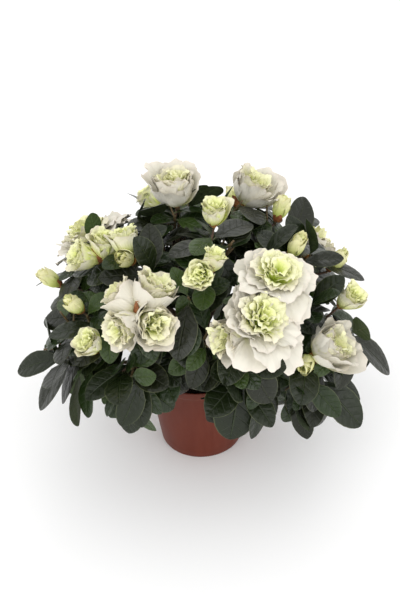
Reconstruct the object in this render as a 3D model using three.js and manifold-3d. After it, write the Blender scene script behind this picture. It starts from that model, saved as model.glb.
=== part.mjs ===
// A potted azalea in bloom: a low domed shrub of rosetted evergreen leaves and double
// white blooms, on a short woody stem, in a tapering nursery pot full of compost.
// Millimetres, +Z up. The origin is the middle of the pot's flat underside.
// The front is -Y and the right is +X. Azimuths turn from the front towards the right.
import * as THREE from "three";
import { mergeVertices } from "three/addons/utils/BufferGeometryUtils.js";
import Module from "manifold-3d";

const wasm = await Module();
wasm.setup();

// ---- driving sizes ----------------------------------------------------------------
const GAP = 0.3; // clearance between pieces that touch on the real plant
const POT = { height: 88, rimRadius: 50, footRadius: 36.5, wall: 1.6, floor: 2.2, lip: 1.4, lipHeight: 9 };
const POT_SIDES = 32;
const SOIL = { edge: POT.height - 6, crown: POT.height - 2, clearRadius: 9, sides: 20 };
const DRAIN = { count: 4, radius: 4, ring: 20, sides: 8 };
const STEM = { top: 122, flare: 9, foot: 6.2, fork: 4.6, lean: [2.5, -1.5], sides: 8 };
const CROWN = new THREE.Vector3(0, 0, 106); // the point that every shoot reaches out from
const BOUGH = { thick: 2.7, thin: 1.7, share: 0.46, sides: 5, steps: 3 };
const TWIG = { thick: 1.7, thin: 1.3, knuckle: 0.6, sides: 3, steps: 2 };
const LEAF = { long: 56, short: 42, wide: 0.6, narrow: 0.47, thickness: 1.2, sunk: -0.25, step: 2.4 };
const ROSETTE = {
  flowering: { count: 6, upright: 72, below: 7 },
  leafy: { count: 7, upright: 30, below: 1 },
  side: { count: 5, upright: 35, below: 1 },
};
const SIDE_SHOOT = { count: 2, from: 0.3, to: 0.62, spread: 48, short: 26, long: 38 };
const SPACE = { margin: 1.3, wide: 22, near: 75, bloom: 1, limb: 1.4, pot: 2.2, floor: 12 };
const TRIES = 8;
const GOLDEN_ANGLE = 137.5;
const CUT_BACK = 0.93; // what doesn't fit its space is tried this much smaller
const PEDICEL = 4; // from the end of a twig to the first petals

// Each kind of bloom: its profile as radius and height from its stalk, over the lobed
// edge of its petals and its ruffled heart, with how far its lobes stand out.
const BLOOMS = {
  O: { lobes: 6, depth: 0.12, profile: [[4, 1], [16, 8], [36, 15], [27, 20], [17, 26], [8, 29]] },
  C: { lobes: 5, depth: 0.14, profile: [[5, 2], [12, 12], [23, 27], [16, 30], [8, 25]] },
  H: { lobes: 4, depth: 0.12, profile: [[6, 3], [13, 12], [15, 23], [9, 28]] },
  B: { lobes: 3, depth: 0.08, profile: [[5, 4], [7, 12], [4.5, 21]] },
};

// The shoots of each mass of foliage: azimuth, elevation, reach, blooms and their turn.
const MASSES = [
  {
    name: "front_left",
    seed: 11,
    shoots: [[-29, 46, 126, "HHHH", 70], [-38, 20, 108, "", 0]],
  },
  {
    name: "front_right",
    seed: 23,
    shoots: [[24, 40, 126, "OH", 5], [47, 50, 126, "O", 80], [22, 12, 96, "", 0]],
  },
  {
    name: "middle",
    seed: 37,
    shoots: [[10, 63, 128, "HH", 45], [48, 80, 132, "H", 60], [-6, 46, 106, "", 0]],
  },
  {
    name: "left_upper",
    seed: 41,
    shoots: [[-62, 62, 124, "HB", 150], [-82, 52, 124, "HH", 95]],
  },
  {
    name: "left_low",
    seed: 53,
    shoots: [[-62, 36, 128, "B", 60], [-46, 28, 124, "H", 90], [-72, 8, 122, "", 0]],
  },
  {
    name: "right_upper",
    seed: 67,
    shoots: [[76, 51, 128, "B", 90], [88, 33, 132, "B", 40]],
  },
  {
    name: "right_low",
    seed: 71,
    shoots: [[52, 18, 122, "CB", 0], [72, 26, 136, "H", 60], [66, 0, 112, "", 0]],
  },
  {
    name: "top_left",
    seed: 83,
    shoots: [[-160, 72, 122, "C", 100], [-112, 66, 104, "", 0]],
  },
  {
    name: "top_right",
    seed: 97,
    shoots: [[144, 52, 122, "CB", 160], [118, 50, 124, "B", 0]],
  },
  {
    name: "back_left",
    seed: 103,
    shoots: [[-124, 30, 114, "O", 90], [-104, 20, 126, "B", 0]],
  },
  {
    name: "back_middle",
    seed: 113,
    shoots: [[-166, 36, 122, "HH", 0], [180, 10, 120, "C", 90]],
  },
  {
    name: "back_right",
    seed: 127,
    shoots: [[122, 16, 116, "OB", 0], [150, 12, 116, "H", 0]],
  },
];

// ---- seeded numbers and directions ------------------------------------------------
// A linear congruential generator, so that the same seed grows the same mass.
class Seeded {
  constructor(seed) {
    this.state = seed >>> 0;
  }
  next() {
    this.state = (Math.imul(this.state, 1664525) + 1013904223) >>> 0;
    return this.state / 4294967296;
  }
  between(low, high) {
    return low + (high - low) * this.next();
  }
}

const UP = new THREE.Vector3(0, 0, 1);
const rad = THREE.MathUtils.degToRad;
const scaled = (v, s) => v.clone().multiplyScalar(s);
const mixed = (a, b, t) => a.clone().lerp(b, t);

function direction(azimuth, elevation) {
  const flat = Math.cos(rad(elevation));
  return new THREE.Vector3(
    flat * Math.sin(rad(azimuth)),
    -flat * Math.cos(rad(azimuth)),
    Math.sin(rad(elevation)),
  );
}

// Two directions square to an axis: u level, v towards the sky.
function squareTo(axis) {
  const level = UP.clone().cross(axis);
  const u = level.length() < 0.05 ? new THREE.Vector3(1, 0, 0) : level.normalize();
  return [u, axis.clone().cross(u).normalize()];
}

// A direction that leans away from an axis by tilt, turned round it by turn, in degrees.
function leaning(axis, tilt, turn) {
  const [u, v] = squareTo(axis);
  return scaled(axis, Math.cos(rad(tilt)))
    .addScaledVector(u, Math.sin(rad(tilt)) * Math.cos(rad(turn)))
    .addScaledVector(v, Math.sin(rad(tilt)) * Math.sin(rad(turn)))
    .normalize();
}

// ---- solids -------------------------------------------------------------------------
function solidOf(geometry) {
  geometry.deleteAttribute("normal");
  geometry.deleteAttribute("uv");
  const merged = mergeVertices(geometry, 1e-4);
  return new wasm.Manifold(
    new wasm.Mesh({
      numProp: 3,
      vertProperties: merged.getAttribute("position").array,
      triVerts: new Uint32Array(merged.index.array),
    }),
  );
}

function geometryOf(solid) {
  const { vertProperties, triVerts } = solid.getMesh();
  const geometry = new THREE.BufferGeometry();
  geometry.setAttribute("position", new THREE.BufferAttribute(vertProperties, 3));
  geometry.setIndex(new THREE.BufferAttribute(triVerts, 1));
  return geometry;
}

// Fuses solids and keeps the largest body, which drops any loose scrap.
function fused(solids) {
  const whole = wasm.Manifold.union(solids).simplify(0.05);
  return whole.decompose().reduce((a, b) => (b.volume() > a.volume() ? b : a));
}

function lathed(profile, sides) {
  const points = profile.map(([radius, height]) => new THREE.Vector2(radius, height));
  return solidOf(new THREE.LatheGeometry(points, sides).rotateX(Math.PI / 2));
}

// A limb whose radius tapers from thick to thin along a curve, with flat ends.
function limb(curve, thick, thin, sides, steps) {
  const frames = curve.computeFrenetFrames(steps, false);
  const vertices = [];
  const faces = [];
  for (let i = 0; i <= steps; i++) {
    const at = curve.getPointAt(i / steps);
    const radius = thick + (thin - thick) * (i / steps);
    for (let k = 0; k < sides; k++) {
      const turn = (2 * Math.PI * k) / sides;
      const point = at
        .clone()
        .addScaledVector(frames.normals[i], radius * Math.cos(turn))
        .addScaledVector(frames.binormals[i], radius * Math.sin(turn));
      vertices.push(...point.toArray());
    }
  }
  for (let i = 0; i < steps; i++)
    for (let k = 0; k < sides; k++) {
      const [a, b] = [i * sides + k, i * sides + ((k + 1) % sides)];
      faces.push(a, b, b + sides, a, b + sides, a + sides);
    }
  const last = steps * sides;
  for (let k = 1; k < sides - 1; k++) {
    faces.push(0, k + 1, k);
    faces.push(last, last + k, last + k + 1);
  }
  const geometry = new THREE.BufferGeometry();
  geometry.setAttribute("position", new THREE.Float32BufferAttribute(vertices, 3));
  geometry.setIndex(faces);
  return solidOf(geometry);
}

// ---- leaves ---------------------------------------------------------------------------
// A leaf's half width at a share of its length: widest a little past its middle.
const outline = (along) => Math.max(0, Math.sin(Math.PI * along ** 1.25)) ** 0.8;

// A point of a blade, which bends along an arc and whose edges rise by its fold.
// along runs from 0 at the root to 1 at the tip, across from -1 to 1 between its edges.
function bladePoint(blade, along, across) {
  const { root, dir, normal, length, width, bend, fold } = blade;
  const turned = bend * along || 1e-6;
  const forward = (length * along * Math.sin(turned)) / turned;
  const drop = (length * along * (1 - Math.cos(turned))) / turned;
  const lifted = scaled(normal, Math.cos(turned)).addScaledVector(dir, Math.sin(turned));
  const half = (width / 2) * outline(along);
  return root
    .clone()
    .addScaledVector(dir, forward)
    .addScaledVector(normal, -drop)
    .addScaledVector(blade.side, across * half)
    .addScaledVector(lifted, fold * Math.abs(across) * half);
}

// The corners round a faceted blade, as along and across, and where its keel is lowest.
const CORNERS = [[0, 0], [0.38, 1], [0.76, 1], [1, 0], [0.76, -1], [0.38, -1]];
const KEEL = 0.42;
const UPPER_FACES = [[0, 1, 5], [1, 2, 4], [1, 4, 5], [2, 3, 4]];

// A faceted blade of ten faces: four above, and six that meet below its midrib.
function bladeSolid(blade) {
  const corners = CORNERS.map(([along, across]) => bladePoint(blade, along, across));
  corners.push(bladePoint(blade, KEEL, 0).addScaledVector(blade.normal, -LEAF.thickness));
  const lowerFaces = CORNERS.map((_, i) => [CORNERS.length, (i + 1) % CORNERS.length, i]);
  const geometry = new THREE.BufferGeometry();
  const vertices = corners.flatMap((corner) => corner.toArray());
  geometry.setAttribute("position", new THREE.Float32BufferAttribute(vertices, 3));
  geometry.setIndex([...UPPER_FACES, ...lowerFaces].flat());
  return solidOf(geometry);
}

// ---- the growth rule ------------------------------------------------------------------
// Shoots end in a head, the point that its blooms and its rosette of leaves spring from.
function headOf([azimuth, elevation, reach, blooms, turn]) {
  const outward = direction(azimuth, elevation);
  const point = CROWN.clone().addScaledVector(outward, reach);
  const axis = scaled(outward, 0.8).addScaledVector(UP, 0.35).normalize();
  return { point, axis, blooms, turn };
}

// The stem's middle line at a height.
function stemPoint(height) {
  const share = (height - SOIL.crown) / (STEM.top - SOIL.crown);
  return new THREE.Vector3(STEM.lean[0] * share, STEM.lean[1] * share, height);
}

// Where each mass starts: its heads, the foot that its bough ends at and its knuckle.
const masses = MASSES.map(({ name, seed, shoots }) => {
  const heads = shoots.map(headOf);
  const mean = heads
    .reduce((sum, head) => sum.add(head.point), new THREE.Vector3())
    .divideScalar(heads.length);
  const steepness = mean.clone().sub(CROWN).normalize().z;
  const anchor = stemPoint(SOIL.crown + 9 + (STEM.top - SOIL.crown - 13) * Math.max(0, steepness));
  const foot = mixed(anchor, mean, BOUGH.share);
  const knuckle = mixed(anchor, mean, TWIG.knuckle);
  return { name, seed, heads, mean, anchor, foot, knuckle };
});

// Sites of a head lie on its twig, and round a bloom that is wide open.
function sitesOf({ point, axis, blooms }, knuckle) {
  const wide = blooms.startsWith("O");
  const around = wide ? [0, 90, 180, 270].map((turn) => leaning(axis, 55, turn)) : [];
  return [
    point,
    mixed(knuckle, point, 0.6),
    ...around.map((way) => point.clone().addScaledVector(way, SPACE.wide)),
  ];
}

// A mass keeps to the points that are nearer to its own sites than to another mass's.
const sites = masses.flatMap(({ heads, foot, knuckle }, mass) =>
  [foot, knuckle, ...heads.flatMap((head) => sitesOf(head, knuckle))].map((point) => ({ point, mass })),
);

function inSpace(point, mass, margin) {
  let own = Infinity;
  let other = Infinity;
  for (const site of sites) {
    const away = site.point.distanceTo(point);
    if (site.mass === mass) own = Math.min(own, away);
    else other = Math.min(other, away);
  }
  return own + margin < other;
}

function potRadius(height) {
  return POT.footRadius + (POT.rimRadius - POT.footRadius) * (height / POT.height);
}

function clearOfPot(point) {
  if (point.z > POT.height + SPACE.pot) return true;
  return point.z > SPACE.floor && Math.hypot(point.x, point.y) > potRadius(point.z) + SPACE.pot;
}

function boughCurve({ anchor, foot, mean }) {
  const outward = mean.clone().sub(anchor).setZ(0);
  const bow = anchor.clone().lerp(foot, 0.5).addScaledVector(outward, 0.05);
  return new THREE.QuadraticBezierCurve3(anchor, bow.setZ(bow.z + 2), foot);
}
const boughCurves = masses.map(boughCurve);
const boughLines = boughCurves.map((curve) => curve.getPoints(BOUGH.steps));

function clearOfLimbs(point) {
  const nearest = new THREE.Vector3();
  for (const line of boughLines)
    for (let i = 0; i + 1 < line.length; i++) {
      new THREE.Line3(line[i], line[i + 1]).closestPointToPoint(point, true, nearest);
      if (nearest.distanceTo(point) < BOUGH.thick + SPACE.limb) return false;
    }
  return point.z > STEM.top || point.distanceTo(stemPoint(point.z)) > STEM.flare + SPACE.limb;
}

// Every bloom, with its base, its axis and its profile at its own size.
function bloomTilt(kind, kinds) {
  if (kinds.length === 1) return 6;
  if (kind === "O" || kind === "C") return 20;
  if (kinds.includes("O") || kinds.includes("C")) return 66;
  return kinds.length === 2 ? 34 : 54;
}

// The points round a bloom's widest ring.
function bloomRim({ base, axis, profile }) {
  const [radius, height] = profile.reduce((a, b) => (b[0] > a[0] ? b : a));
  const middle = base.clone().addScaledVector(axis, height);
  return [0, 60, 120, 180, 240, 300].map((turn) =>
    middle.clone().addScaledVector(leaning(axis, 90, turn), radius),
  );
}

function bloomsOf(head, mass) {
  return [...head.blooms].map((kind, k) => {
    const turn = head.turn + (360 * k) / head.blooms.length;
    const axis = leaning(head.axis, bloomTilt(kind, head.blooms), turn);
    const base = head.point.clone().addScaledVector(axis, PEDICEL);
    const { profile, ...shape } = BLOOMS[kind];
    for (let go = 0; ; go++) {
      const size = CUT_BACK ** go;
      const bloom = { kind, size, base, axis, ...shape };
      bloom.profile = profile.map(([radius, height]) => [radius * size, height * size]);
      const free = bloomRim(bloom).every((point) => inSpace(point, mass, SPACE.margin));
      if (free || go === TRIES) return bloom;
    }
  });
}
const blooms = masses.map(({ heads }, mass) => heads.flatMap((head) => bloomsOf(head, mass)));

// A bloom's outermost radius at a height over its base, and 0 above or below it.
function bloomReach(profile, height) {
  let reach = 0;
  for (let i = 0; i + 1 < profile.length; i++) {
    const [[r0, h0], [r1, h1]] = [profile[i], profile[i + 1]];
    if (height < Math.min(h0, h1) || height > Math.max(h0, h1)) continue;
    reach = Math.max(reach, r0 + ((r1 - r0) * (height - h0)) / (h1 - h0));
  }
  return reach;
}

function inBloom(point) {
  return blooms.flat().some(({ base, axis, profile }) => {
    const from = point.clone().sub(base);
    const height = from.dot(axis);
    const away = from.addScaledVector(axis, -height).length();
    return away < bloomReach(profile, height) + SPACE.bloom;
  });
}

// A blade's wires are lines on it, and its panels the triangles that it is made of.
const STATIONS = [0.12, 0.42, 0.76];

function webOf(blade) {
  const tip = bladePoint(blade, 1, 0);
  const rows = STATIONS.map((along) => [-1, 0, 1].map((across) => bladePoint(blade, along, across)));
  rows.push([tip, tip, tip]);
  const wires = [];
  const panels = [];
  for (let i = 0; i + 1 < rows.length; i++) {
    for (let k = 0; k < 3; k++) wires.push([rows[i][k], rows[i + 1][k]]);
    for (let k = 0; k < 2; k++) {
      wires.push([rows[i][k], rows[i][k + 1]]);
      panels.push([rows[i][k], rows[i][k + 1], rows[i + 1][k + 1]]);
      if (i + 2 < rows.length) panels.push([rows[i][k], rows[i + 1][k + 1], rows[i + 1][k]]);
    }
  }
  return { middle: rows[1][1], wires, panels };
}

// Whether a wire goes through a panel, by the signs of its volumes with the edges.
function pierces([from, to], [a, b, c]) {
  const volume = (p, q, r, s) => q.clone().sub(p).cross(r.clone().sub(p)).dot(s.clone().sub(p));
  if (volume(a, b, c, from) * volume(a, b, c, to) >= 0) return false;
  const sides = [volume(from, to, a, b), volume(from, to, b, c), volume(from, to, c, a)];
  return sides.every((side) => side > 0) || sides.every((side) => side < 0);
}

const webs = []; // of every leaf so far
const twigWires = []; // the lines of every twig

function crosses(web) {
  const hits = (wires, panels) => wires.some((wire) => panels.some((panel) => pierces(wire, panel)));
  const nearTwigs = twigWires.filter(([from]) => from.distanceTo(web.middle) < SPACE.near);
  if (hits(nearTwigs, web.panels)) return true;
  return webs.some(
    (other) =>
      other.middle.distanceTo(web.middle) < SPACE.near &&
      (hits(web.wires, other.panels) || hits(other.wires, web.panels)),
  );
}

// Places on a leaf that have to be free.
const PROBES = [
  [0.1, 0], [0.2, 1], [0.2, -1], [0.36, 1], [0.36, -1], [0.6, 0], [0.76, 1], [0.76, -1], [0.85, 0], [1, 0],
];

function leafFits(leaf, mass) {
  const free = PROBES.every(([along, across]) => {
    const point = bladePoint(leaf, along, across);
    const clear = clearOfPot(point) && clearOfLimbs(point) && !inBloom(point);
    return clear && inSpace(point, mass, SPACE.margin);
  });
  return free && !crosses(webOf(leaf));
}

// A rosette: leaves up the end of a shoot, each a golden angle round from the last.
function rosette({ line, axis, count, upright, below }, mass, random) {
  const length = line[0].distanceTo(line.at(-1));
  const start = random.between(0, 360);
  const leaves = [];
  for (let j = 0; j < count; j++) {
    const root = onLine(line, Math.max(0.1, 1 - (below + j * LEAF.step) / length));
    const age = j / (count - 1);
    const tilt = upright + (98 - upright) * age + random.between(-8, 8);
    const turn = start + j * GOLDEN_ANGLE + random.between(-14, 14);
    const size = random.between(LEAF.short, LEAF.long) * (0.8 + 0.2 * age);
    const width = random.between(LEAF.narrow, LEAF.wide);
    const bend = random.between(0.25, 0.75);
    for (let go = 0; go < TRIES; go++) {
      const long = size * CUT_BACK ** go;
      const dir = leaning(axis, tilt, turn + (go % 2 ? 22 : -22) * Math.ceil(go / 2));
      const skyward = axis.clone().addScaledVector(UP, 0.5);
      const normal = skyward.addScaledVector(dir, -skyward.dot(dir)).normalize();
      const side = dir.clone().cross(normal).normalize();
      const leaf = { root, dir, normal, side, length: long, width: long * width, bend, fold: 0.18 };
      if (!leafFits(leaf, mass)) continue;
      webs.push(webOf(leaf));
      leaves.push(leaf);
      break;
    }
  }
  return leaves;
}

// A twig from one point to another that leaves along the direction given.
function twigCurve(from, to, leaving, sweep) {
  const control = from.clone().addScaledVector(leaving, from.distanceTo(to) * sweep);
  return new THREE.QuadraticBezierCurve3(from, control, to);
}

// A place on a twig's faceted line, at a share of the way along it.
function onLine(line, share) {
  const at = Math.min(share * (line.length - 1), line.length - 1.001);
  const i = Math.floor(at);
  return line[i].clone().lerp(line[i + 1], at - i);
}

const lineOf = (curve) => curve.getSpacedPoints(TWIG.steps);

// The shoots of a mass: one twig to each head, and leafy side shoots that fit beside it.
function shootsOf(plan, mass) {
  const random = new Seeded(plan.seed);
  const leaving = plan.mean.clone().sub(plan.anchor).normalize();
  const shoots = plan.heads.map((head, i) => {
    const habit = head.blooms ? ROSETTE.flowering : ROSETTE.leafy;
    const thick = TWIG.thick - 0.07 * i;
    const curve = twigCurve(plan.knuckle, head.point, leaving, 0.35);
    return { curve, line: lineOf(curve), axis: head.axis, thick, ...habit };
  });
  for (const { curve, line } of [...shoots])
    for (let k = 0; k < SIDE_SHOOT.count; k++) {
      const share = random.between(SIDE_SHOOT.from, SIDE_SHOOT.to);
      const from = onLine(line, share);
      const along = curve.getTangentAt(share);
      const turn = random.between(0, 360);
      const reach = random.between(SIDE_SHOOT.short, SIDE_SHOOT.long);
      for (let go = 0; go < TRIES; go++) {
        const out = leaning(along, SIDE_SHOOT.spread, turn + go * 51);
        const tip = from.clone().addScaledVector(out, reach).addScaledVector(UP, 3);
        if (!clearOfPot(tip) || !clearOfLimbs(tip) || inBloom(tip) || !inSpace(tip, mass, 9)) continue;
        const axis = out.clone().addScaledVector(UP, 0.4).normalize();
        const side = twigCurve(from, tip, out, 0.4);
        shoots.push({ curve: side, line: lineOf(side), axis, thick: TWIG.thin, ...ROSETTE.side });
        break;
      }
    }
  for (const { line } of shoots)
    for (let i = 0; i + 1 < line.length; i++) twigWires.push([line[i], line[i + 1]]);
  return { shoots, random };
}

const grown = masses.map((plan, mass) => ({ plan, mass, ...shootsOf(plan, mass) }));
for (const mass of grown)
  mass.leaves = mass.shoots.flatMap((shoot) => rosette(shoot, mass.mass, mass.random));

// A bloom as one lathed body whose edge and heart are drawn out into lobes.
function bloomSolid({ base, axis, profile, lobes, depth }) {
  const top = profile.at(-1)[1];
  const line = [[0, -PEDICEL - 1], ...profile, [0, top + 1]].map(([r, h]) => new THREE.Vector2(r, h));
  const geometry = new THREE.LatheGeometry(line, lobes * 2).rotateX(Math.PI / 2);
  const position = geometry.getAttribute("position");
  const [u, v] = squareTo(axis);
  const widest = Math.max(...profile.map(([radius]) => radius));
  for (let i = 0; i < position.count; i++) {
    const [x, y, z] = [position.getX(i), position.getY(i), position.getZ(i)];
    const wave = Math.cos(Math.atan2(y, x) * lobes) * (Math.hypot(x, y) / widest);
    const place = base
      .clone()
      .addScaledVector(axis, z + 2 * wave)
      .addScaledVector(u, x * (1 + depth * wave))
      .addScaledVector(v, y * (1 + depth * wave));
    position.setXYZ(i, place.x, place.y, place.z);
  }
  return solidOf(geometry);
}

// ---- the pieces ------------------------------------------------------------------------
function potSolid() {
  const { height, rimRadius, footRadius, wall, floor, lip, lipHeight } = POT;
  const under = potRadius(height - lipHeight) - lip;
  const profile = [
    [0, 0], [footRadius - 1, 0], [footRadius, 1.5],
    [under, height - lipHeight], [under + lip, height - lipHeight + 1.2], [rimRadius, height - 0.8],
    [rimRadius - 0.7, height], [rimRadius - wall, height], [under - wall + 0.4, height - lipHeight],
    [footRadius - wall - 0.4, floor], [0, floor],
  ];
  const shell = lathed(profile, POT_SIDES);
  const hole = new THREE.CylinderGeometry(DRAIN.radius, DRAIN.radius, 12, DRAIN.sides).rotateX(Math.PI / 2);
  const holes = Array.from({ length: DRAIN.count }, (_, k) => {
    const turn = (2 * Math.PI * k) / DRAIN.count;
    const place = [DRAIN.ring * Math.cos(turn), DRAIN.ring * Math.sin(turn), 2];
    return solidOf(hole.clone().translate(...place));
  });
  return shell.subtract(wasm.Manifold.union(holes));
}

function soilSolid() {
  const { height, lip, lipHeight, footRadius, wall, floor } = POT;
  const underRim = potRadius(height - lipHeight) - lip - wall;
  const profile = [
    [0, floor + GAP], [footRadius - wall - 0.4 - GAP, floor + GAP], [underRim - GAP, height - lipHeight],
    [underRim + 0.4, SOIL.edge], [30, SOIL.edge + 2], [STEM.flare + SOIL.clearRadius, SOIL.crown],
    [0, SOIL.crown],
  ];
  return lathed(profile, SOIL.sides);
}

// The stem, made wider by grow where boughs are cut to fit it.
function stemSolid(grow) {
  const stations = [
    [SOIL.crown + GAP, STEM.flare], [SOIL.crown + 3.5, STEM.foot + 0.9], [SOIL.crown + 8, STEM.foot],
    [SOIL.crown + 20, STEM.fork + 0.8], [STEM.top - 2, STEM.fork], [STEM.top, STEM.fork - 1.4],
  ];
  const rings = stations.map(([height, radius]) => ({ at: stemPoint(height), radius: radius + grow }));
  const side = rings.map(({ at, radius }) => [radius, at.z]);
  const profile = [[0, SOIL.crown + GAP - grow], ...side, [0, STEM.top + grow]];
  const straight = new THREE.LatheGeometry(
    profile.map(([radius, height]) => new THREE.Vector2(radius, height)),
    STEM.sides,
  ).rotateX(Math.PI / 2);
  const position = straight.getAttribute("position");
  for (let i = 0; i < position.count; i++) {
    const shift = stemPoint(position.getZ(i));
    position.setXY(i, position.getX(i) + shift.x, position.getY(i) + shift.y);
  }
  return solidOf(straight);
}

// The stem that a mass grows from: from just clear of its bough's end to the knuckle.
function massStem(plan) {
  const leaving = plan.knuckle.clone().sub(plan.foot).normalize();
  const start = plan.foot.clone().addScaledVector(leaving, GAP);
  const end = plan.knuckle.clone().addScaledVector(leaving, 1.5);
  return limb(new THREE.LineCurve3(start, end), BOUGH.thin, TWIG.thick, 5, 1);
}

function massSolid({ plan, mass, shoots, leaves }) {
  const solids = [massStem(plan)];
  for (const { curve, thick } of shoots)
    solids.push(limb(curve, thick, TWIG.thin, TWIG.sides, TWIG.steps));
  for (const leaf of leaves) {
    const root = leaf.root.clone().addScaledVector(leaf.dir, -LEAF.sunk);
    solids.push(bladeSolid({ ...leaf, root }));
  }
  return fused([...solids, ...blooms[mass].map(bloomSolid)]);
}

const COLOURS = { pot: 0x7d4034, soil: 0x2c1c17, bark: 0x5b3a28, foliage: 0x2c3d2a };
const azalea = new THREE.Group();

function addPiece(name, solid, colour, roughness) {
  const material = new THREE.MeshStandardMaterial({ color: colour, roughness, metalness: 0 });
  const mesh = new THREE.Mesh(geometryOf(solid), material);
  mesh.name = name;
  azalea.add(mesh);
}

addPiece("pot", potSolid(), COLOURS.pot, 0.5);
addPiece("compost", soilSolid(), COLOURS.soil, 0.95);
addPiece("stem", stemSolid(0), COLOURS.bark, 0.85);

// Each bough is cut back to a gap from the stem and from the boughs before it.
const taken = [stemSolid(GAP)];
for (const { plan, mass } of grown) {
  const grownBy = (extra) =>
    limb(boughCurves[mass], BOUGH.thick + extra, BOUGH.thin + extra, BOUGH.sides, BOUGH.steps);
  const bough = grownBy(0).subtract(wasm.Manifold.union(taken));
  addPiece(`bough_${plan.name}`, fused([bough]), COLOURS.bark, 0.85);
  taken.push(grownBy(GAP));
}
for (const mass of grown)
  addPiece(`foliage_${mass.plan.name}`, massSolid(mass), COLOURS.foliage, 0.5);

export default azalea;
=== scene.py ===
"""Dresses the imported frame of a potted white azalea: pot, compost, wood, leaves and double blooms.

Sizes are in millimetres until a mesh is made, which is in metres. Z is up, the front is -Y and
the right is +X. Azimuths turn from the front towards the right.
"""

import logging
import math
from dataclasses import dataclass, field, replace
from enum import Enum

import bpy
import numpy as np
from mathutils import Matrix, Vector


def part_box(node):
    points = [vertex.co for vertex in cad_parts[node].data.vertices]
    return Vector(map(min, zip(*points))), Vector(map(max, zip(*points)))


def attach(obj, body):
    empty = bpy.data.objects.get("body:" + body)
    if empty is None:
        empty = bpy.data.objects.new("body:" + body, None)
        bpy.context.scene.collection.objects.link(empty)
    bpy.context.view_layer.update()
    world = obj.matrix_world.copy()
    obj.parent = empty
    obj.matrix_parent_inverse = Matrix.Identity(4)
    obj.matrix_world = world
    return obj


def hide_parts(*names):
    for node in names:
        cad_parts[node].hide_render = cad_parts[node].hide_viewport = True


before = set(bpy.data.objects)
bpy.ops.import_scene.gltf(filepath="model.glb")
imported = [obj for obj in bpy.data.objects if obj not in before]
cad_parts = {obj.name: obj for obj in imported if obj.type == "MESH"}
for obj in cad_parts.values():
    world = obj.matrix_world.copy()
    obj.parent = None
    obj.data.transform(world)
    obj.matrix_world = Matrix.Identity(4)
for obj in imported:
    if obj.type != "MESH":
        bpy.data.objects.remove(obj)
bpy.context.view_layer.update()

log = logging.getLogger("azalea")
Array = np.ndarray
MM = 0.001
UP = np.array([0.0, 0.0, 1.0])
TINY = 1e-12  # the least length that a direction is divided by
LEAST_BEND = 1e-6  # in radians, so that a flat leaf is an arc too
GOLDEN_ANGLE = 137.5
CURVE_STEPS = 201  # how finely a curve is measured
FULL_TURN = 6.28  # near enough for the phase of a wave

UV_NAME = "OFBake"
TILE = 0.25  # each finish has a tile of the UV square
TILE_EDGE, TILE_SPAN = 0.005, 0.24
SHEET_EDGE, SHEET_SPAN = 0.004, 0.115  # a blade's upper sheet has the left half of its tile
UNDER_EDGE = 0.129
STALK_EDGE, STALK_SPAN = 0.1203, 0.004  # and its stalk has the strip between the two sheets


class Bloom(Enum):
    """How far a bloom has opened."""

    OPEN = "O"
    CUP = "C"
    HALF = "H"
    BUD = "B"


# ---- seeded numbers, directions and curves ----
class Seeded:
    """A linear congruential generator, the same as the solids' own."""

    FACTOR = 1664525
    STEP = 1013904223
    RANGE = 2**32

    def __init__(self, seed: int) -> None:
        """Starts the row of numbers at a seed."""
        self.state = seed

    def next(self) -> float:
        """The next number, from 0 to 1."""
        self.state = (self.state * self.FACTOR + self.STEP) % self.RANGE
        return self.state / self.RANGE

    def between(self, low: float, high: float) -> float:
        """The next number, from low to high."""
        return low + (high - low) * self.next()


def unit(vectors: Array) -> Array:
    """Vectors of length one along the last axis."""
    return vectors / np.maximum(np.linalg.norm(vectors, axis=-1, keepdims=True), TINY)


def direction(azimuth: float, elevation: float) -> Array:
    """The direction at an azimuth from the front and an elevation, in degrees."""
    az, el = math.radians(azimuth), math.radians(elevation)
    return np.array([math.cos(el) * math.sin(az), -math.cos(el) * math.cos(az), math.sin(el)])


def square_to(axis: Array) -> tuple[Array, Array]:
    """Two directions square to each axis: one level, and one towards the sky.

    Args:
        axis: directions of length one.

    Returns:
        The level directions, and those square to them and to the axes.
    """
    level = np.cross(UP, axis)
    steep = np.linalg.norm(level, axis=-1, keepdims=True) < 0.05
    u = np.where(steep, np.array([1.0, 0.0, 0.0]), unit(level))
    return u, unit(np.cross(axis, u))


def leaning(axis: Array, tilt: float | Array, turn: float | Array) -> Array:
    """A direction that leans away from an axis.

    It is axis cos tilt + u sin tilt cos turn + v sin tilt sin turn, with u and v square to the axis.

    Args:
        axis: one direction or an array of them.
        tilt: how far it leans, in degrees.
        turn: which way round the axis it leans, in degrees.

    Returns:
        Directions of length one.
    """
    u, v = square_to(axis)
    tilt, turn = np.radians(tilt)[..., None], np.radians(turn)[..., None]
    return unit(
        axis * np.cos(tilt) + u * np.sin(tilt) * np.cos(turn) + v * np.sin(tilt) * np.sin(turn)
    )


def bezier(corners: list[Array], shares: Array, even: bool = True) -> Array:
    """Points of a curve of three corners, (1-t)^2 a + 2t(1-t) b + t^2 c, at shares of its length.

    Args:
        corners: its start, its control point and its end.
        shares: from 0 at its start to 1 at its end.
        even: whether the shares are of its length, or of t itself.

    Returns:
        A point for each share.
    """
    a, b, c = corners

    def at(t: Array) -> Array:
        """The curve's points at t."""
        t = np.asarray(t, float)[..., None]
        return (1 - t) ** 2 * a + 2 * t * (1 - t) * b + t**2 * c

    if not even:
        return at(shares)
    t = np.linspace(0, 1, CURVE_STEPS)
    run = np.concatenate([[0], np.cumsum(np.linalg.norm(np.diff(at(t), axis=0), axis=1))])
    return at(np.interp(np.asarray(shares) * run[-1], run, t))


def stretches(line: Array) -> Array:
    """The straight stretches of a line of points: (K - 1, 2, 3) ends."""
    return np.stack([line[:-1], line[1:]], 1)


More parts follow.
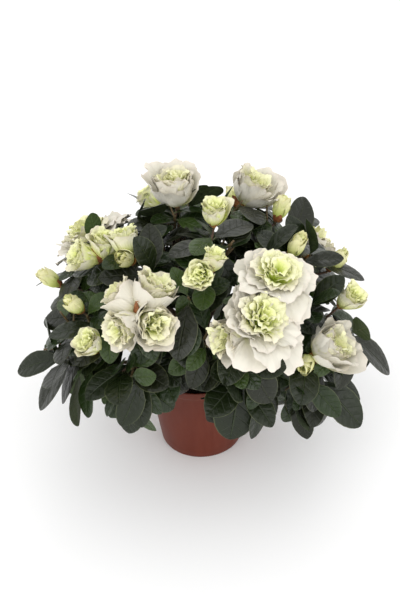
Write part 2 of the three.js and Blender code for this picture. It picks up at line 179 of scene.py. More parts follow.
def on_line(line: Array, share: float) -> Array:
    """A place on a line of points.

    Args:
        line: its points.
        share: how far along it, by the number of its stretches.

    Returns:
        The point.
    """
    at = min(share * (len(line) - 1), len(line) - 1.001)
    i = int(at)
    return line[i] + (line[i + 1] - line[i]) * (at - i)


# ---- the growth rule of the solids, written again ----
@dataclass(frozen=True)
class Habit:
    """How a rosette holds its leaves.

    It has count leaves, the first upright degrees off its twig and below its head by below, each
    a step further down, from short to long, and each is tried tries times.
    """

    count: int
    upright: float
    below: float
    short: float = 42
    long: float = 56
    step: float = 2.4
    tries: int = 8


@dataclass
class Head:
    """The end of a shoot, where its blooms and its rosette spring from."""

    point: Array
    axis: Array
    blooms: str
    turn: float


@dataclass
class Flower:
    """One bloom: where it stands, how large it is, and how well its petals have grown.

    Its profile is the radius and height of each ring of its envelope, from its foot up.
    """

    kind: Bloom
    size: float
    base: Array
    axis: Array
    profile: Array
    vigour: float


@dataclass
class Shoot:
    """A twig with a rosette at its end."""

    corners: list[Array]
    line: Array
    axis: Array
    thick: float
    habit: Habit


@dataclass(frozen=True)
class Line:
    """The way of a twig: from start to end, leaving along a direction for a share of its length."""

    start: Array
    end: Array
    leaving: Array
    sweep: float

    def shoot(self, axis: Array, thick: float, habit: Habit) -> Shoot:
        """A twig along this line, whose rosette stands round the axis.

        Args:
            axis: where its end points.
            thick: its thickness at its foot.
            habit: how its rosette holds its leaves.

        Returns:
            The twig.
        """
        pull = self.leaving * np.linalg.norm(self.end - self.start) * self.sweep
        corners = [self.start, self.start + pull, self.end]
        return Shoot(corners, bezier(corners, np.linspace(0, 1, 3)), axis, thick, habit)


@dataclass(frozen=True)
class Room:
    """What side shoots may take up.

    They start at shares of their twig's length, reach out between two lengths, keep inside their
    mass's space by the distance spaced, and have rosettes of one habit.
    """

    shares: tuple[float, float]
    reaches: tuple[float, float]
    spaced: float
    habit: Habit


@dataclass
class Leaf:
    """One leaf: its root and frame, its length, its width, how it bends, and its finish."""

    root: Array
    way: Array
    normal: Array
    side: Array
    length: float
    width: float
    bend: float
    age: float
    tint: int = 0
    fold: float = 0.18

    def points(self, along: Array, across: Array) -> Array:
        """Points of the blade, which bends along an arc while its edges rise by its fold.

        Args:
            along: 0 at the root to 1 at the tip.
            across: -1 to 1 between its edges.

        Returns:
            A point for each pair.
        """
        along, across = np.broadcast_arrays(np.asarray(along, float), np.asarray(across, float))
        turned = np.maximum(self.bend * along, LEAST_BEND)
        forward = self.length * along * np.sin(turned) / turned
        drop = self.length * along * (1 - np.cos(turned)) / turned
        half = self.width / 2 * leaf_outline(along)
        lifted = self.normal * np.cos(turned)[..., None] + self.way * np.sin(turned)[..., None]
        return (
            self.root
            + self.way * forward[..., None]
            - self.normal * drop[..., None]
            + self.side * (across * half)[..., None]
            + lifted * (self.fold * np.abs(across) * half)[..., None]
        )


def leaf_outline(along: Array) -> Array:
    """The share of a leaf's half width: a sine to the power 0.8, widest past the middle."""
    return np.maximum(0, np.sin(np.pi * along**1.25)) ** 0.8


@dataclass
class Web:
    """Lines and triangles that stand for leaves, with the box of each, to find what is near."""

    wires: Array = field(default_factory=lambda: np.zeros((0, 15, 2, 3)))
    panels: Array = field(default_factory=lambda: np.zeros((0, 10, 3, 3)))
    low: Array = field(default_factory=lambda: np.zeros((0, 3)))
    high: Array = field(default_factory=lambda: np.zeros((0, 3)))

    @classmethod
    def of(cls, leaf: Leaf) -> "Web":
        """The web of one leaf: rows across it at three stations, and its tip.

        Args:
            leaf: the leaf.

        Returns:
            Its web.
        """
        along = np.repeat([0.12, 0.42, 0.76, 1.0], 3)
        rows = leaf.points(along, np.tile([-1.0, 0.0, 1.0], 4)).reshape(4, 3, 3)
        rows[3] = rows[3, 1]
        wires, panels = [], []
        for i in range(3):
            wires += [(rows[i, k], rows[i + 1, k]) for k in range(3)]
            wires += [(rows[i, k], rows[i, k + 1]) for k in range(2)]
            panels += [(rows[i, k], rows[i, k + 1], rows[i + 1, k + 1]) for k in range(2)]
            if i < 2:
                panels += [(rows[i, k], rows[i + 1, k + 1], rows[i + 1, k]) for k in range(2)]
        points = rows.reshape(-1, 3)
        return cls(np.array([wires]), np.array([panels]), points.min(0)[None], points.max(0)[None])

    def add(self, other: "Web") -> None:
        """Adds another web's leaves to this one."""
        for key in ("wires", "panels", "low", "high"):
            setattr(self, key, np.concatenate([getattr(self, key), getattr(other, key)]))

    def close(self, low: Array, high: Array) -> Array:
        """Which leaves have boxes that meet the box given."""
        return np.all((self.low < high) & (self.high > low), axis=1)


@dataclass
class Mass:
    """One mass of foliage: its heads, where its bough ends, and what grows from it."""

    index: int
    name: str
    heads: list[Head]
    mean: Array
    anchor: Array
    foot: Array
    knuckle: Array
    random: Seeded
    flowers: list[Flower] = field(default_factory=list)
    shoots: list[Shoot] = field(default_factory=list)
    leaves: list[Leaf] = field(default_factory=list)


@dataclass
class Growth:
    """The azalea's habit: twelve masses that each keep to the space round their own shoots.

    A gap or margin is what a leaf keeps from each thing. A leaf grows longer and wider by two
    factors: one that holds everywhere, and one for how low down it is.
    """

    crown: Array = field(default_factory=lambda: np.array([0.0, 0.0, 106.0]))
    stem_top: float = 122
    soil_crown: float = 86
    lean: tuple[float, float] = (2.5, -1.5)
    pot_height: float = 88
    pot_rim: float = 50
    pot_foot: float = 36.5
    outwards: float = 0.8
    upwards: float = 0.35
    lowest_anchor: float = 9
    anchor_slack: float = 13
    bow_out: float = 0.05
    bow_up: float = 2
    site_share: float = 0.6
    bough_share: float = 0.46
    knuckle_share: float = 0.6
    bough_thick: float = 2.7
    flare: float = 9
    pot_gap: float = 2.2
    ground_gap: float = 12
    limb_gap: float = 1.4
    bloom_gap: float = 1
    margin: float = 1.3
    wide: float = 22
    tries: int = 8
    cut_back: float = 0.93
    pedicel: float = 4
    weak: float = 0.74
    weak_gain: float = 0.043
    drooping: float = 98
    tilt_spread: float = 8
    turn_spread: float = 14
    slender: tuple[float, float] = (0.47, 0.6)
    bends: tuple[float, float] = (0.25, 0.75)
    sidestep: float = 22
    side_spread: float = 48
    side_step: float = 51
    fill_seed: int = 1000
    low_from: float = 160
    low_over: float = 60
    low_gain: float = 0.22
    longer: tuple[float, float] = (1.11, 1.1)
    wider: tuple[float, float] = (1.12, 0.6)

    # each mass's name and seed, then the azimuth, elevation, reach, blooms and turn of each shoot
    plan: tuple = (
        ("front_left", 11, ((-29, 46, 126, "HHHH", 70), (-38, 20, 108, "", 0))),
        ("front_right", 23, ((24, 40, 126, "OH", 5), (47, 50, 126, "O", 80), (22, 12, 96, "", 0))),
        ("middle", 37, ((10, 63, 128, "HH", 45), (48, 80, 132, "H", 60), (-6, 46, 106, "", 0))),
        ("left_upper", 41, ((-62, 62, 124, "HB", 150), (-82, 52, 124, "HH", 95))),
        ("left_low", 53, ((-62, 36, 128, "B", 60), (-46, 28, 124, "H", 90), (-72, 8, 122, "", 0))),
        ("right_upper", 67, ((76, 51, 128, "B", 90), (88, 33, 132, "B", 40))),
        ("right_low", 71, ((52, 18, 122, "CB", 0), (72, 26, 136, "H", 60), (66, 0, 112, "", 0))),
        ("top_left", 83, ((-160, 72, 122, "C", 100), (-112, 66, 104, "", 0))),
        ("top_right", 97, ((144, 52, 122, "CB", 160), (118, 50, 124, "B", 0))),
        ("back_left", 103, ((-124, 30, 114, "O", 90), (-104, 20, 126, "B", 0))),
        ("back_middle", 113, ((-166, 36, 122, "HH", 0), (180, 10, 120, "C", 90))),
        ("back_right", 127, ((122, 16, 116, "OB", 0), (150, 12, 116, "H", 0))),
    )
    # radius and height of each ring of a bloom, from its foot up
    profiles: dict = field(
        default_factory=lambda: {
            Bloom.OPEN: ((4, 1), (16, 8), (36, 15), (27, 20), (17, 26), (8, 29)),
            Bloom.CUP: ((5, 2), (12, 12), (23, 27), (16, 30), (8, 25)),
            Bloom.HALF: ((6, 3), (13, 12), (15, 23), (9, 28)),
            Bloom.BUD: ((5, 4), (7, 12), (4.5, 21)),
        }
    )
    flowering: Habit = Habit(6, 72, 7)
    leafy: Habit = Habit(7, 30, 1)
    side_habit: Habit = Habit(5, 35, 1)
    young: Habit = Habit(5, 48, 1, 38, 52, 2.0, 6)
    collars: tuple[Habit, ...] = (Habit(6, 84, 19, 46, 58, 3.0, 6), Habit(5, 80, 34, 44, 56, 4.0, 6))
    dome: float = 128
    small_leaf: float = 33
    young_age: float = 0.2
    # two finishes that a leaf may take, and the share of leaves that take the first
    small_tints: tuple = (3, 2, 0.35)
    young_tints: tuple = (2, 1, 0.3)
    old_tints: tuple = (0, 1, 0.62)

    def __post_init__(self) -> None:
        """Works the plant out: masses, spaces, blooms, shoots and leaves, in the solids' order."""
        self.masses = [self.mass_of(index, *entry) for index, entry in enumerate(self.plan)]
        self.site_points, self.site_owner = self.sites()
        self.bough_corners = [self.bough_of(mass) for mass in self.masses]
        lines = [bezier(corners, np.linspace(0, 1, 4), even=False) for corners in self.bough_corners]
        self.bough_wires = np.concatenate([stretches(line) for line in lines])
        for mass in self.masses:
            mass.flowers = [f for head in mass.heads for f in self.flowers_of(head, mass.index)]
        self.flowers = [flower for mass in self.masses for flower in mass.flowers]
        self.cones = self.flower_cones()
        self.webs = Web()
        self.twigs = np.zeros((0, 2, 3))
        for mass in self.masses:
            self.main_shoots(mass)
        for mass in self.masses:
            for shoot in mass.shoots:
                mass.leaves += self.rosette(shoot, mass)
        self.fill_in()

    # -- where things start --
    def head_of(self, azimuth: float, elevation: float, reach: float, blooms: str, turn: float) -> Head:
        """A head that lies out from the crown's middle and looks outwards and up."""
        outward = direction(azimuth, elevation)
        return Head(
            point=self.crown + outward * reach,
            axis=unit(outward * self.outwards + UP * self.upwards),
            blooms=blooms,
            turn=turn,
        )

    def stem_point(self, height: float) -> Array:
        """The stem's middle line at a height."""
        share = (height - self.soil_crown) / (self.stem_top - self.soil_crown)
        return np.array([self.lean[0] * share, self.lean[1] * share, height])

    def mass_of(self, index: int, name: str, seed: int, shoots: tuple) -> Mass:
        """A mass whose bough leaves the stem the higher, the steeper it goes.

        Args:
            index: its place among the masses.
            name: what the mass is called.
            seed: where its random numbers start.
            shoots: azimuth, elevation, reach, blooms and turn of each of its shoots.

        Returns:
            The mass, with nothing grown on it yet.
        """
        heads = [self.head_of(*shoot) for shoot in shoots]
        mean = sum(head.point for head in heads) / len(heads)
        steepness = max(0.0, unit(mean - self.crown)[2])
        rise = (self.stem_top - self.soil_crown - self.anchor_slack) * steepness
        anchor = self.stem_point(self.soil_crown + self.lowest_anchor + rise)
        foot = anchor + (mean - anchor) * self.bough_share
        knuckle = anchor + (mean - anchor) * self.knuckle_share
        return Mass(index, name, heads, mean, anchor, foot, knuckle, Seeded(seed))

    def sites(self) -> tuple[Array, Array]:
        """Marks out each mass's space: what is nearest to its own points belongs to it.

        Returns:
            The points, and the index of the mass that each belongs to.
        """
        points, owner = [], []
        for mass in self.masses:
            own = [mass.foot, mass.knuckle]
            for head in mass.heads:
                own += [head.point, mass.knuckle + (head.point - mass.knuckle) * self.site_share]
                if head.blooms.startswith("O"):
                    ways = [leaning(head.axis, 55.0, turn) for turn in (0.0, 90.0, 180.0, 270.0)]
                    own += [head.point + way * self.wide for way in ways]
            points += own
            owner += [mass.index] * len(own)
        return np.array(points), np.array(owner)

    def bough_of(self, mass: Mass) -> list[Array]:
        """A bough's corners: it bows out and up a little on its way from the stem to its mass."""
        outward = (mass.mean - mass.anchor) * [self.bow_out, self.bow_out, 0]
        return [mass.anchor, (mass.anchor + mass.foot) / 2 + outward + UP * self.bow_up, mass.foot]

    # -- what is free --
    def in_space(self, points: Array, index: int, margin: float) -> Array:
        """Whether each point is nearer to its own mass's sites than to any other's.

        Args:
            points: (P, 3).
            index: the mass that they belong to.
            margin: how much nearer they have to be.

        Returns:
            A truth for each point.
        """
        away = np.linalg.norm(points[:, None] - self.site_points[None], axis=-1)
        own = away[:, self.site_owner == index].min(1)
        return own + margin < away[:, self.site_owner != index].min(1)

    def clear_of_pot(self, points: Array) -> Array:
        """Whether each point is over the pot's rim, or beside the pot and off the ground.

        Args:
            points: (P, 3).

        Returns:
            A truth for each point.
        """
        height = points[:, 2]
        radius = self.pot_foot + (self.pot_rim - self.pot_foot) * height / self.pot_height
        beside = np.hypot(points[:, 0], points[:, 1]) > radius + self.pot_gap
        return (height > self.pot_height + self.pot_gap) | ((height > self.ground_gap) & beside)

    def clear_of_limbs(self, points: Array) -> Array:
        """Whether each point is away from every bough and from the stem.

        The nearest place on a bough is where the point's foot falls on each of its straight
        stretches, kept between their ends.

        Args:
            points: (P, 3).

        Returns:
            A truth for each point.
        """
        start, run = self.bough_wires[:, 0], self.bough_wires[:, 1] - self.bough_wires[:, 0]
        share = np.einsum("psk,sk->ps", points[:, None] - start, run) / np.einsum("sk,sk->s", run, run)
        nearest = start + np.clip(share, 0, 1)[..., None] * run
        gap = np.linalg.norm(points[:, None] - nearest, axis=-1).min(1)
        share_up = (points[:, 2] - self.soil_crown) / (self.stem_top - self.soil_crown)
        from_stem = np.hypot(*(points[:, :2] - share_up[:, None] * self.lean).T)
        off_stem = (points[:, 2] > self.stem_top) | (from_stem > self.flare + self.limb_gap)
        return (gap >= self.bough_thick + self.limb_gap) & off_stem

    def flower_cones(self) -> tuple[Array, ...]:
        """Every bloom's profile as cones: base, axis, and the ring where each starts and ends."""
        rows = [
            (flower.base, flower.axis, start, end)
            for flower in self.flowers
            for start, end in zip(flower.profile[:-1], flower.profile[1:])
        ]
        return tuple(np.array(column) for column in zip(*rows))

    def in_flower(self, points: Array) -> Array:
        """Whether each point lies in a bloom, whose profile is turned round its axis.

        Args:
            points: (P, 3).

        Returns:
            A truth for each point.
        """
        base, axis, start, end = self.cones
        offset = points[:, None] - base
        height = np.einsum("pck,ck->pc", offset, axis)
        away = np.linalg.norm(offset - height[..., None] * axis, axis=-1)
        share = (height - start[:, 1]) / (end[:, 1] - start[:, 1])
        radius = start[:, 0] + (end[:, 0] - start[:, 0]) * share
        reach = np.where((share >= 0) & (share <= 1), radius, 0.0)
        return (away < reach + self.bloom_gap).any(1)

    @staticmethod
    def pierce(wires: Array, panels: Array) -> bool:
        """Whether any wire goes through any panel.

        It does if its ends lie on either side of the panel, and the volumes that it makes with
        the panel's three edges have one sign.

        Args:
            wires: (W, 2, 3) ends.
            panels: (P, 3, 3) corners.

        Returns:
            Whether one does.
        """
        if not len(wires) or not len(panels):
            return False
        start, end = wires[:, None, 0], wires[:, None, 1]
        a, b, c = panels[None, :, 0], panels[None, :, 1], panels[None, :, 2]

        def volume(p: Array, q: Array, r: Array, t: Array) -> Array:
            """Six times the volume of the four corners, with its sign."""
            (x0, y0, z0), (x1, y1, z1), (x2, y2, z2) = (np.moveaxis(v - p, -1, 0) for v in (q, r, t))
            return x0 * (y1 * z2 - z1 * y2) + y0 * (z1 * x2 - x1 * z2) + z0 * (x1 * y2 - y1 * x2)

        apart = volume(a, b, c, start) * volume(a, b, c, end) < 0
        sides = [volume(start, end, a, b), volume(start, end, b, c), volume(start, end, c, a)]
        above = (sides[0] > 0) & (sides[1] > 0) & (sides[2] > 0)
        below = (sides[0] < 0) & (sides[1] < 0) & (sides[2] < 0)
        return bool(np.any(apart & (above | below)))

    def crosses(self, web: Web) -> bool:
        """Whether a leaf would go through a twig or through a leaf that is there already.

        Args:
            web: the web of the one leaf.

        Returns:
            Whether it would.
        """
        low, high = web.low[0], web.high[0]
        met = np.all((self.twigs.min(1) < high) & (self.twigs.max(1) > low), axis=1)
        if self.pierce(self.twigs[met], web.panels[0]):
            return True
        near = self.webs.close(low, high)
        if not near.any():
            return False
        panels = self.webs.panels[near].reshape(-1, 3, 3)
        wires = self.webs.wires[near].reshape(-1, 2, 3)
        return self.pierce(web.wires[0], panels) or self.pierce(wires, web.panels[0])

    def blocked(self, line: Array) -> bool:
        """Whether a twig along a line would go through a leaf that is there already."""
        near = self.webs.close(line.min(0), line.max(0))
        return self.pierce(stretches(line), self.webs.panels[near].reshape(-1, 3, 3))

    PROBES_ALONG = np.array([0.1, 0.2, 0.2, 0.36, 0.36, 0.6, 0.76, 0.76, 0.85, 1.0])
    PROBES_ACROSS = np.array([0, 1, -1, 1, -1, 0, 1, -1, 0, 0])

    def fits(self, leaf: Leaf, index: int) -> bool:
        """Whether a leaf keeps to its space and touches nothing.

        Args:
            leaf: the leaf.
            index: its mass.

        Returns:
            Whether it does.
        """
        points = leaf.points(self.PROBES_ALONG, self.PROBES_ACROSS)
        if not self.clear_of_pot(points).all() or not self.in_space(points, index, self.margin).all():
            return False
        if not self.clear_of_limbs(points).all() or self.in_flower(points).any():
            return False
        return not self.crosses(Web.of(leaf))

    def under_dome(self, leaf: Leaf) -> bool:
        """Whether a leaf that fills in stays inside the crown that the first leaves make."""
        tip = leaf.points(np.ones(1), np.zeros(1))[0] - self.crown
        return bool(np.linalg.norm(tip) < self.dome)

    # -- what grows --
    @staticmethod
    def lean_of(kind: str, kinds: str) -> float:
        """How far a bloom leans from its head, by what shares the head with it.

        Args:
            kind: the bloom's own letter.
            kinds: the letters of all the blooms on the head.

        Returns:
            Degrees off the head's axis.
        """
        if len(kinds) == 1:
            return 6.0
        if kind in "OC":
            return 20.0
        if "O" in kinds or "C" in kinds:
            return 66.0
        return 34.0 if len(kinds) == 2 else 54.0

    def flowers_of(self, head: Head, index: int) -> list[Flower]:
        """A head's blooms, each cut back until its rim keeps to its mass's space.

        Args:
            head: where they spring from.
            index: the mass that the head belongs to.

        Returns:
            The blooms. Half-open ones that share a head with no open one are smaller.
        """
        made = []
        for k, kind in enumerate(head.blooms):
            turn = head.turn + 360 * k / len(head.blooms)
            axis = leaning(head.axis, self.lean_of(kind, head.blooms), turn)
            base = head.point + axis * self.pedicel
            shape = np.array(self.profiles[Bloom(kind)], float)
            radius, height = max(shape.tolist(), key=lambda ring: ring[0])
            rim_ways = np.array([leaning(axis, 90.0, 60.0 * step) for step in range(6)])
            for go in range(self.tries + 1):
                size = self.cut_back**go
                rim = base + axis * height * size + rim_ways * radius * size
                if go == self.tries or np.all(self.in_space(rim, index, self.margin)):
                    break
            vigour = 1.0
            if kind == "H" and "O" not in head.blooms:
                vigour = self.weak + self.weak_gain * (len(head.blooms) - 1) ** 2
            made.append(Flower(Bloom(kind), size, base, axis, shape * size, vigour))
        return made

    def rosette(self, shoot: Shoot, mass: Mass) -> list[Leaf]:
        """Leaves up the end of a shoot, each a golden angle round from the last.

        One that doesn't fit is cut back and turned to either side, and left out in the end.

        Args:
            shoot: the twig, with the habit of its rosette.
            mass: its mass.

        Returns:
            The leaves that fit.
        """
        habit, line, random = shoot.habit, shoot.line, mass.random
        length = np.linalg.norm(line[-1] - line[0])
        start = random.between(0, 360)
        leaves = []
        for j in range(habit.count):
            root = on_line(line, max(0.1, 1 - (habit.below + j * habit.step) / length))
            age = j / (habit.count - 1)
            leaning_out = habit.upright + (self.drooping - habit.upright) * age
            tilt = leaning_out + random.between(-self.tilt_spread, self.tilt_spread)
            astray = random.between(-self.turn_spread, self.turn_spread)
            turn = start + j * GOLDEN_ANGLE + astray
            size = random.between(habit.short, habit.long) * (0.8 + 0.2 * age)
            width = random.between(*self.slender)
            bend = random.between(*self.bends)
            for go in range(habit.tries):
                long = size * self.cut_back**go
                aside = (self.sidestep if go % 2 else -self.sidestep) * math.ceil(go / 2)
                way = leaning(shoot.axis, tilt, turn + aside)
                skyward = shoot.axis + UP * 0.5
                normal = unit(skyward - way * (skyward @ way))
                side = unit(np.cross(way, normal))
                leaf = Leaf(root, way, normal, side, long, long * width, bend, age)
                if not self.fits(leaf, mass.index):
                    continue
                if habit.tries < self.tries and not self.under_dome(leaf):
                    continue
                self.webs.add(Web.of(leaf))
                leaves.append(leaf)
                break
        return leaves

    def main_shoots(self, mass: Mass) -> None:
        """One twig to each head, and leafy side shoots that fit beside it.

        Args:
            mass: the mass that gets them.
        """
        leaving = unit(mass.mean - mass.anchor)
        for i, head in enumerate(mass.heads):
            habit = self.flowering if head.blooms else self.leafy
            thick = 1.7 - 0.07 * i
            line = Line(mass.knuckle, head.point, leaving, 0.35)
            mass.shoots.append(line.shoot(head.axis, thick, habit))
        room = Room((0.3, 0.62), (26, 38), 9, self.side_habit)
        for shoot in list(mass.shoots):
            for _ in range(2):
                self.side_shoot(shoot, mass, room)
        self.keep_wires(mass.shoots)

    def side_shoot(self, shoot: Shoot, mass: Mass, room: Room) -> None:
        """A side shoot that leaves a twig to one side and ends in a free place, if there is one.

        Args:
            shoot: the twig that it leaves.
            mass: the mass that gets it.
            room: where it may start, how far it may reach and how much room it needs.
        """
        random = mass.random
        share = random.between(*room.shares)
        start = on_line(shoot.line, share)
        near = [share - 1e-3, share + 1e-3]
        along = unit(np.diff(bezier(shoot.corners, near), axis=0)[0])
        turn = random.between(0, 360)
        reach = random.between(*room.reaches)
        for go in range(self.tries):
            out = leaning(along, self.side_spread, turn + go * self.side_step)
            tip = start + out * reach + UP * 3
            spot = tip[None]
            free = self.clear_of_pot(spot) & self.clear_of_limbs(spot) & ~self.in_flower(spot)
            if not free[0] or not self.in_space(spot, mass.index, room.spaced)[0]:
                continue
            grown = Line(start, tip, out, 0.4).shoot(unit(out + UP * 0.4), 1.3, room.habit)
            if not self.blocked(grown.line[1:]):
                mass.shoots.append(grown)
                break

    def keep_wires(self, shoots: list[Shoot]) -> None:
        """Keeps the lines of these twigs, so that no leaf goes through them."""
        for shoot in shoots:
            self.twigs = np.concatenate([self.twigs, stretches(shoot.line)])

    def fill_in(self) -> None:
        """Carries the rule on: collars of leaves down the twigs, then finer twigs in what is free."""
        for mass in self.masses:
            mass.random = Seeded(self.fill_seed + mass.index)
        for collar in self.collars:
            for mass in self.masses:
                for shoot in [s for s in mass.shoots if s.habit in (self.flowering, self.leafy)]:
                    mass.leaves += self.rosette(replace(shoot, habit=collar), mass)
        for reaches, spaced in (((14, 26), 5.0), ((10, 20), 3.0)):
            room = Room((0.2, 0.9), reaches, spaced, self.young)
            for mass in self.masses:
                for shoot in list(mass.shoots):
                    self.young_shoots(shoot, mass, room)
        for mass in self.masses:
            for leaf in mass.leaves:
                leaf.tint = self.tint_of(leaf, mass.random)
            mass.leaves = [grown for leaf in mass.leaves if (grown := self.full_grown(leaf))]

    def full_grown(self, leaf: Leaf) -> Leaf | None:
        """A leaf larger than its place was kept for, most of all low down.

        Args:
            leaf: the leaf as it was tested.

        Returns:
            The larger leaf, the leaf as it was if only that clears the pot, or None.
        """
        depth = (self.low_from - leaf.root[2]) / self.low_over
        low_down = self.low_gain * min(1.0, max(0.0, depth))
        length = leaf.length * (self.longer[0] + self.longer[1] * low_down)
        width = leaf.width * (self.wider[0] + self.wider[1] * low_down)
        along, across = np.repeat(np.linspace(0.1, 1, 14), 3), np.tile([-1.0, 0.0, 1.0], 14)
        for grown in (replace(leaf, length=length, width=width), leaf):
            if self.clear_of_pot(grown.points(along, across)).all():
                return grown
        return None

    def young_shoots(self, shoot: Shoot, mass: Mass, room: Room) -> None:
        """Two young shoots from a twig, each of which stays only if leaves of its own find room.

        Args:
            shoot: the twig that they leave.
            mass: the mass that gets them.
            room: where they may start, how far they may reach and how much room they need.
        """
        for _ in range(2):
            before, wires = len(mass.shoots), self.twigs
            self.side_shoot(shoot, mass, room)
            if len(mass.shoots) == before:
                continue
            self.keep_wires(mass.shoots[before:])
            leaves = self.rosette(mass.shoots[-1], mass)
            if leaves:
                mass.leaves += leaves
            else:
                mass.shoots.pop()
                self.twigs = wires

    def tint_of(self, leaf: Leaf, random: Seeded) -> int:
        """Which of the leaf finishes a leaf takes: the small ones at the tips are the freshest.

        Args:
            leaf: the leaf.
            random: where the numbers come from.

        Returns:
            The finish's place in the list.
        """
        if leaf.length < self.small_leaf:
            first, second, share = self.small_tints
        elif leaf.age < self.young_age:
            first, second, share = self.young_tints
        else:
            first, second, share = self.old_tints
        return first if random.next() < share else second


# ---- meshes ----
def gathered(things: list, name: str) -> Array:
    """One field of many things, in one array."""
    return np.array([getattr(thing, name) for thing in things])


def tile_of(finish: Array | int) -> Array:
    """The corner of a finish's own tile of the UV square, four to a row."""
    finish = np.asarray(finish)
    return np.stack([finish % 4, finish // 4], -1) * TILE


def in_tile(uv: Array, finish: Array | int) -> Array:
    """UVs from 0 to 1 drawn into the tile of a finish, or of one finish for each quad."""
    return uv * TILE_SPAN + TILE_EDGE + tile_of(finish)[..., None, :]


def mesh_of(name: str, points: Array, quads: Array) -> bpy.types.Mesh:
    """A mesh in metres.

    Args:
        name: what it is called.
        points: (V, 3) in mm.
        quads: (F, 4) indices into points, where a triangle names its last corner twice.

    Returns:
        The mesh.
    """
    mesh = bpy.data.meshes.new(name)
    faces = [quad[:3] if quad[2] == quad[3] else quad for quad in quads.tolist()]
    mesh.from_pydata((points * MM).tolist(), [], faces)
    return mesh


def placed(name: str, data: bpy.types.ID) -> bpy.types.Object:
    """A new object in the scene.

    Args:
        name: what it is called.
        data: its mesh, lamp or camera.

    Returns:
        The object, at the origin.
    """
    made = bpy.data.objects.new(name, data)
    bpy.context.scene.collection.objects.link(made)
    return made


@dataclass
class Patchwork:
    """Surfaces gathered into one mesh: points in mm, quads, UVs, finishes and sharp margins."""

    name: str
    points: list[Array] = field(default_factory=list)
    quads: list[Array] = field(default_factory=list)
    uvs: list[Array] = field(default_factory=list)
    finishes: list[Array] = field(default_factory=list)
    margins: list[Array] = field(default_factory=list)
    size: int = 0

    def add(self, points: Array, quads: Array, uv: Array | None = None, finish: Array | int = 0,
            margin: Array | None = None) -> None:
        """Adds one batch.

        Args:
            points: (V, 3) in mm.
            quads: (F, 4) indices into points, where a triangle names its last corner twice.
            uv: (F, 4, 2), or None in a piece that has no UV map.
            finish: a material index, or one for each quad.
            margin: whether each point lies on a sharp margin.
        """
        self.points.append(points)
        self.quads.append(quads + self.size)
        self.uvs.append(np.zeros((len(quads), 4, 2)) if uv is None else uv)
        self.finishes.append(np.broadcast_to(finish, (len(quads),)))
        self.margins.append(np.zeros(len(points), bool) if margin is None else margin)
        self.size += len(points)

    def build(
        self, materials: list[bpy.types.Material], slot: str, replaced: list[str]
    ) -> bpy.types.Object:
        """Makes the object, dresses it and lets it ride on the root.

        Args:
            materials: what the finishes name.
            slot: not used.
            replaced: the nodes of the solids that it stands for.

        Returns:
            The object.
        """
        quads = np.concatenate(self.quads)
        mesh = mesh_of(self.name, np.concatenate(self.points), quads)
        mesh.update(calc_edges=True)
        keep = np.ones((len(quads), 4), bool)
        keep[:, 3] = quads[:, 3] != quads[:, 2]
        uvs = np.concatenate(self.uvs)
        if uvs.any():
            uv = mesh.uv_layers.new(name=UV_NAME)
            uv.data.foreach_set("uv", uvs[keep].astype(np.float32).ravel())
        mesh.polygons.foreach_set("material_index", np.concatenate(self.finishes).astype(np.int32))
        mesh.polygons.foreach_set("use_smooth", np.ones(len(quads), bool))
        margin = np.concatenate(self.margins)
        if margin.any():
            ends = np.empty(len(mesh.edges) * 2, np.int32)
            mesh.edges.foreach_get("vertices", ends)
            mesh.edges.foreach_set("use_edge_sharp", margin[ends.reshape(-1, 2)].all(1))
        for material in materials:
            mesh.materials.append(material)
        piece = placed(self.name, mesh)
        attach(piece, "root")
        if replaced:
            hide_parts(*replaced)
        log.info("%s: %d faces", self.name, len(quads))
        return piece


def grid_quads(rows: int, columns: int, around: bool = False) -> Array:
    """Quads of a grid of points, numbered row by row.

    Args:
        rows: how many rows it has.
        columns: how many points each row has.
        around: whether the last column joins the first.

    Returns:
        (F, 4) indices.
    """
    across = np.arange(columns if around else columns - 1)
    i, j = np.meshgrid(np.arange(rows - 1), across, indexing="ij")
    right = (j + 1) % columns
    low, high = i * columns, (i + 1) * columns
    return np.stack([low + j, low + right, high + right, high + j], -1).reshape(-1, 4)


def closed_quads(rings: int, sides: int) -> Array:
    """Quads of a stack of rings that is closed by a fan at each end.

    Args:
        rings: how many rings it has.
        sides: how many points each ring has.

    Returns:
        (F, 4) indices into the rings' points in order, then the middles of the two ends.
    """
    side = np.arange(sides)
    following = (side + 1) % sides
    last = (rings - 1) * sides
    first_middle = np.full(sides, rings * sides)
    last_middle = first_middle + 1
    start = np.stack([following, side, first_middle, first_middle], 1)
    end = np.stack([last + side, last + following, last_middle, last_middle], 1)
    return np.concatenate([grid_quads(rings, sides, around=True), start, end])


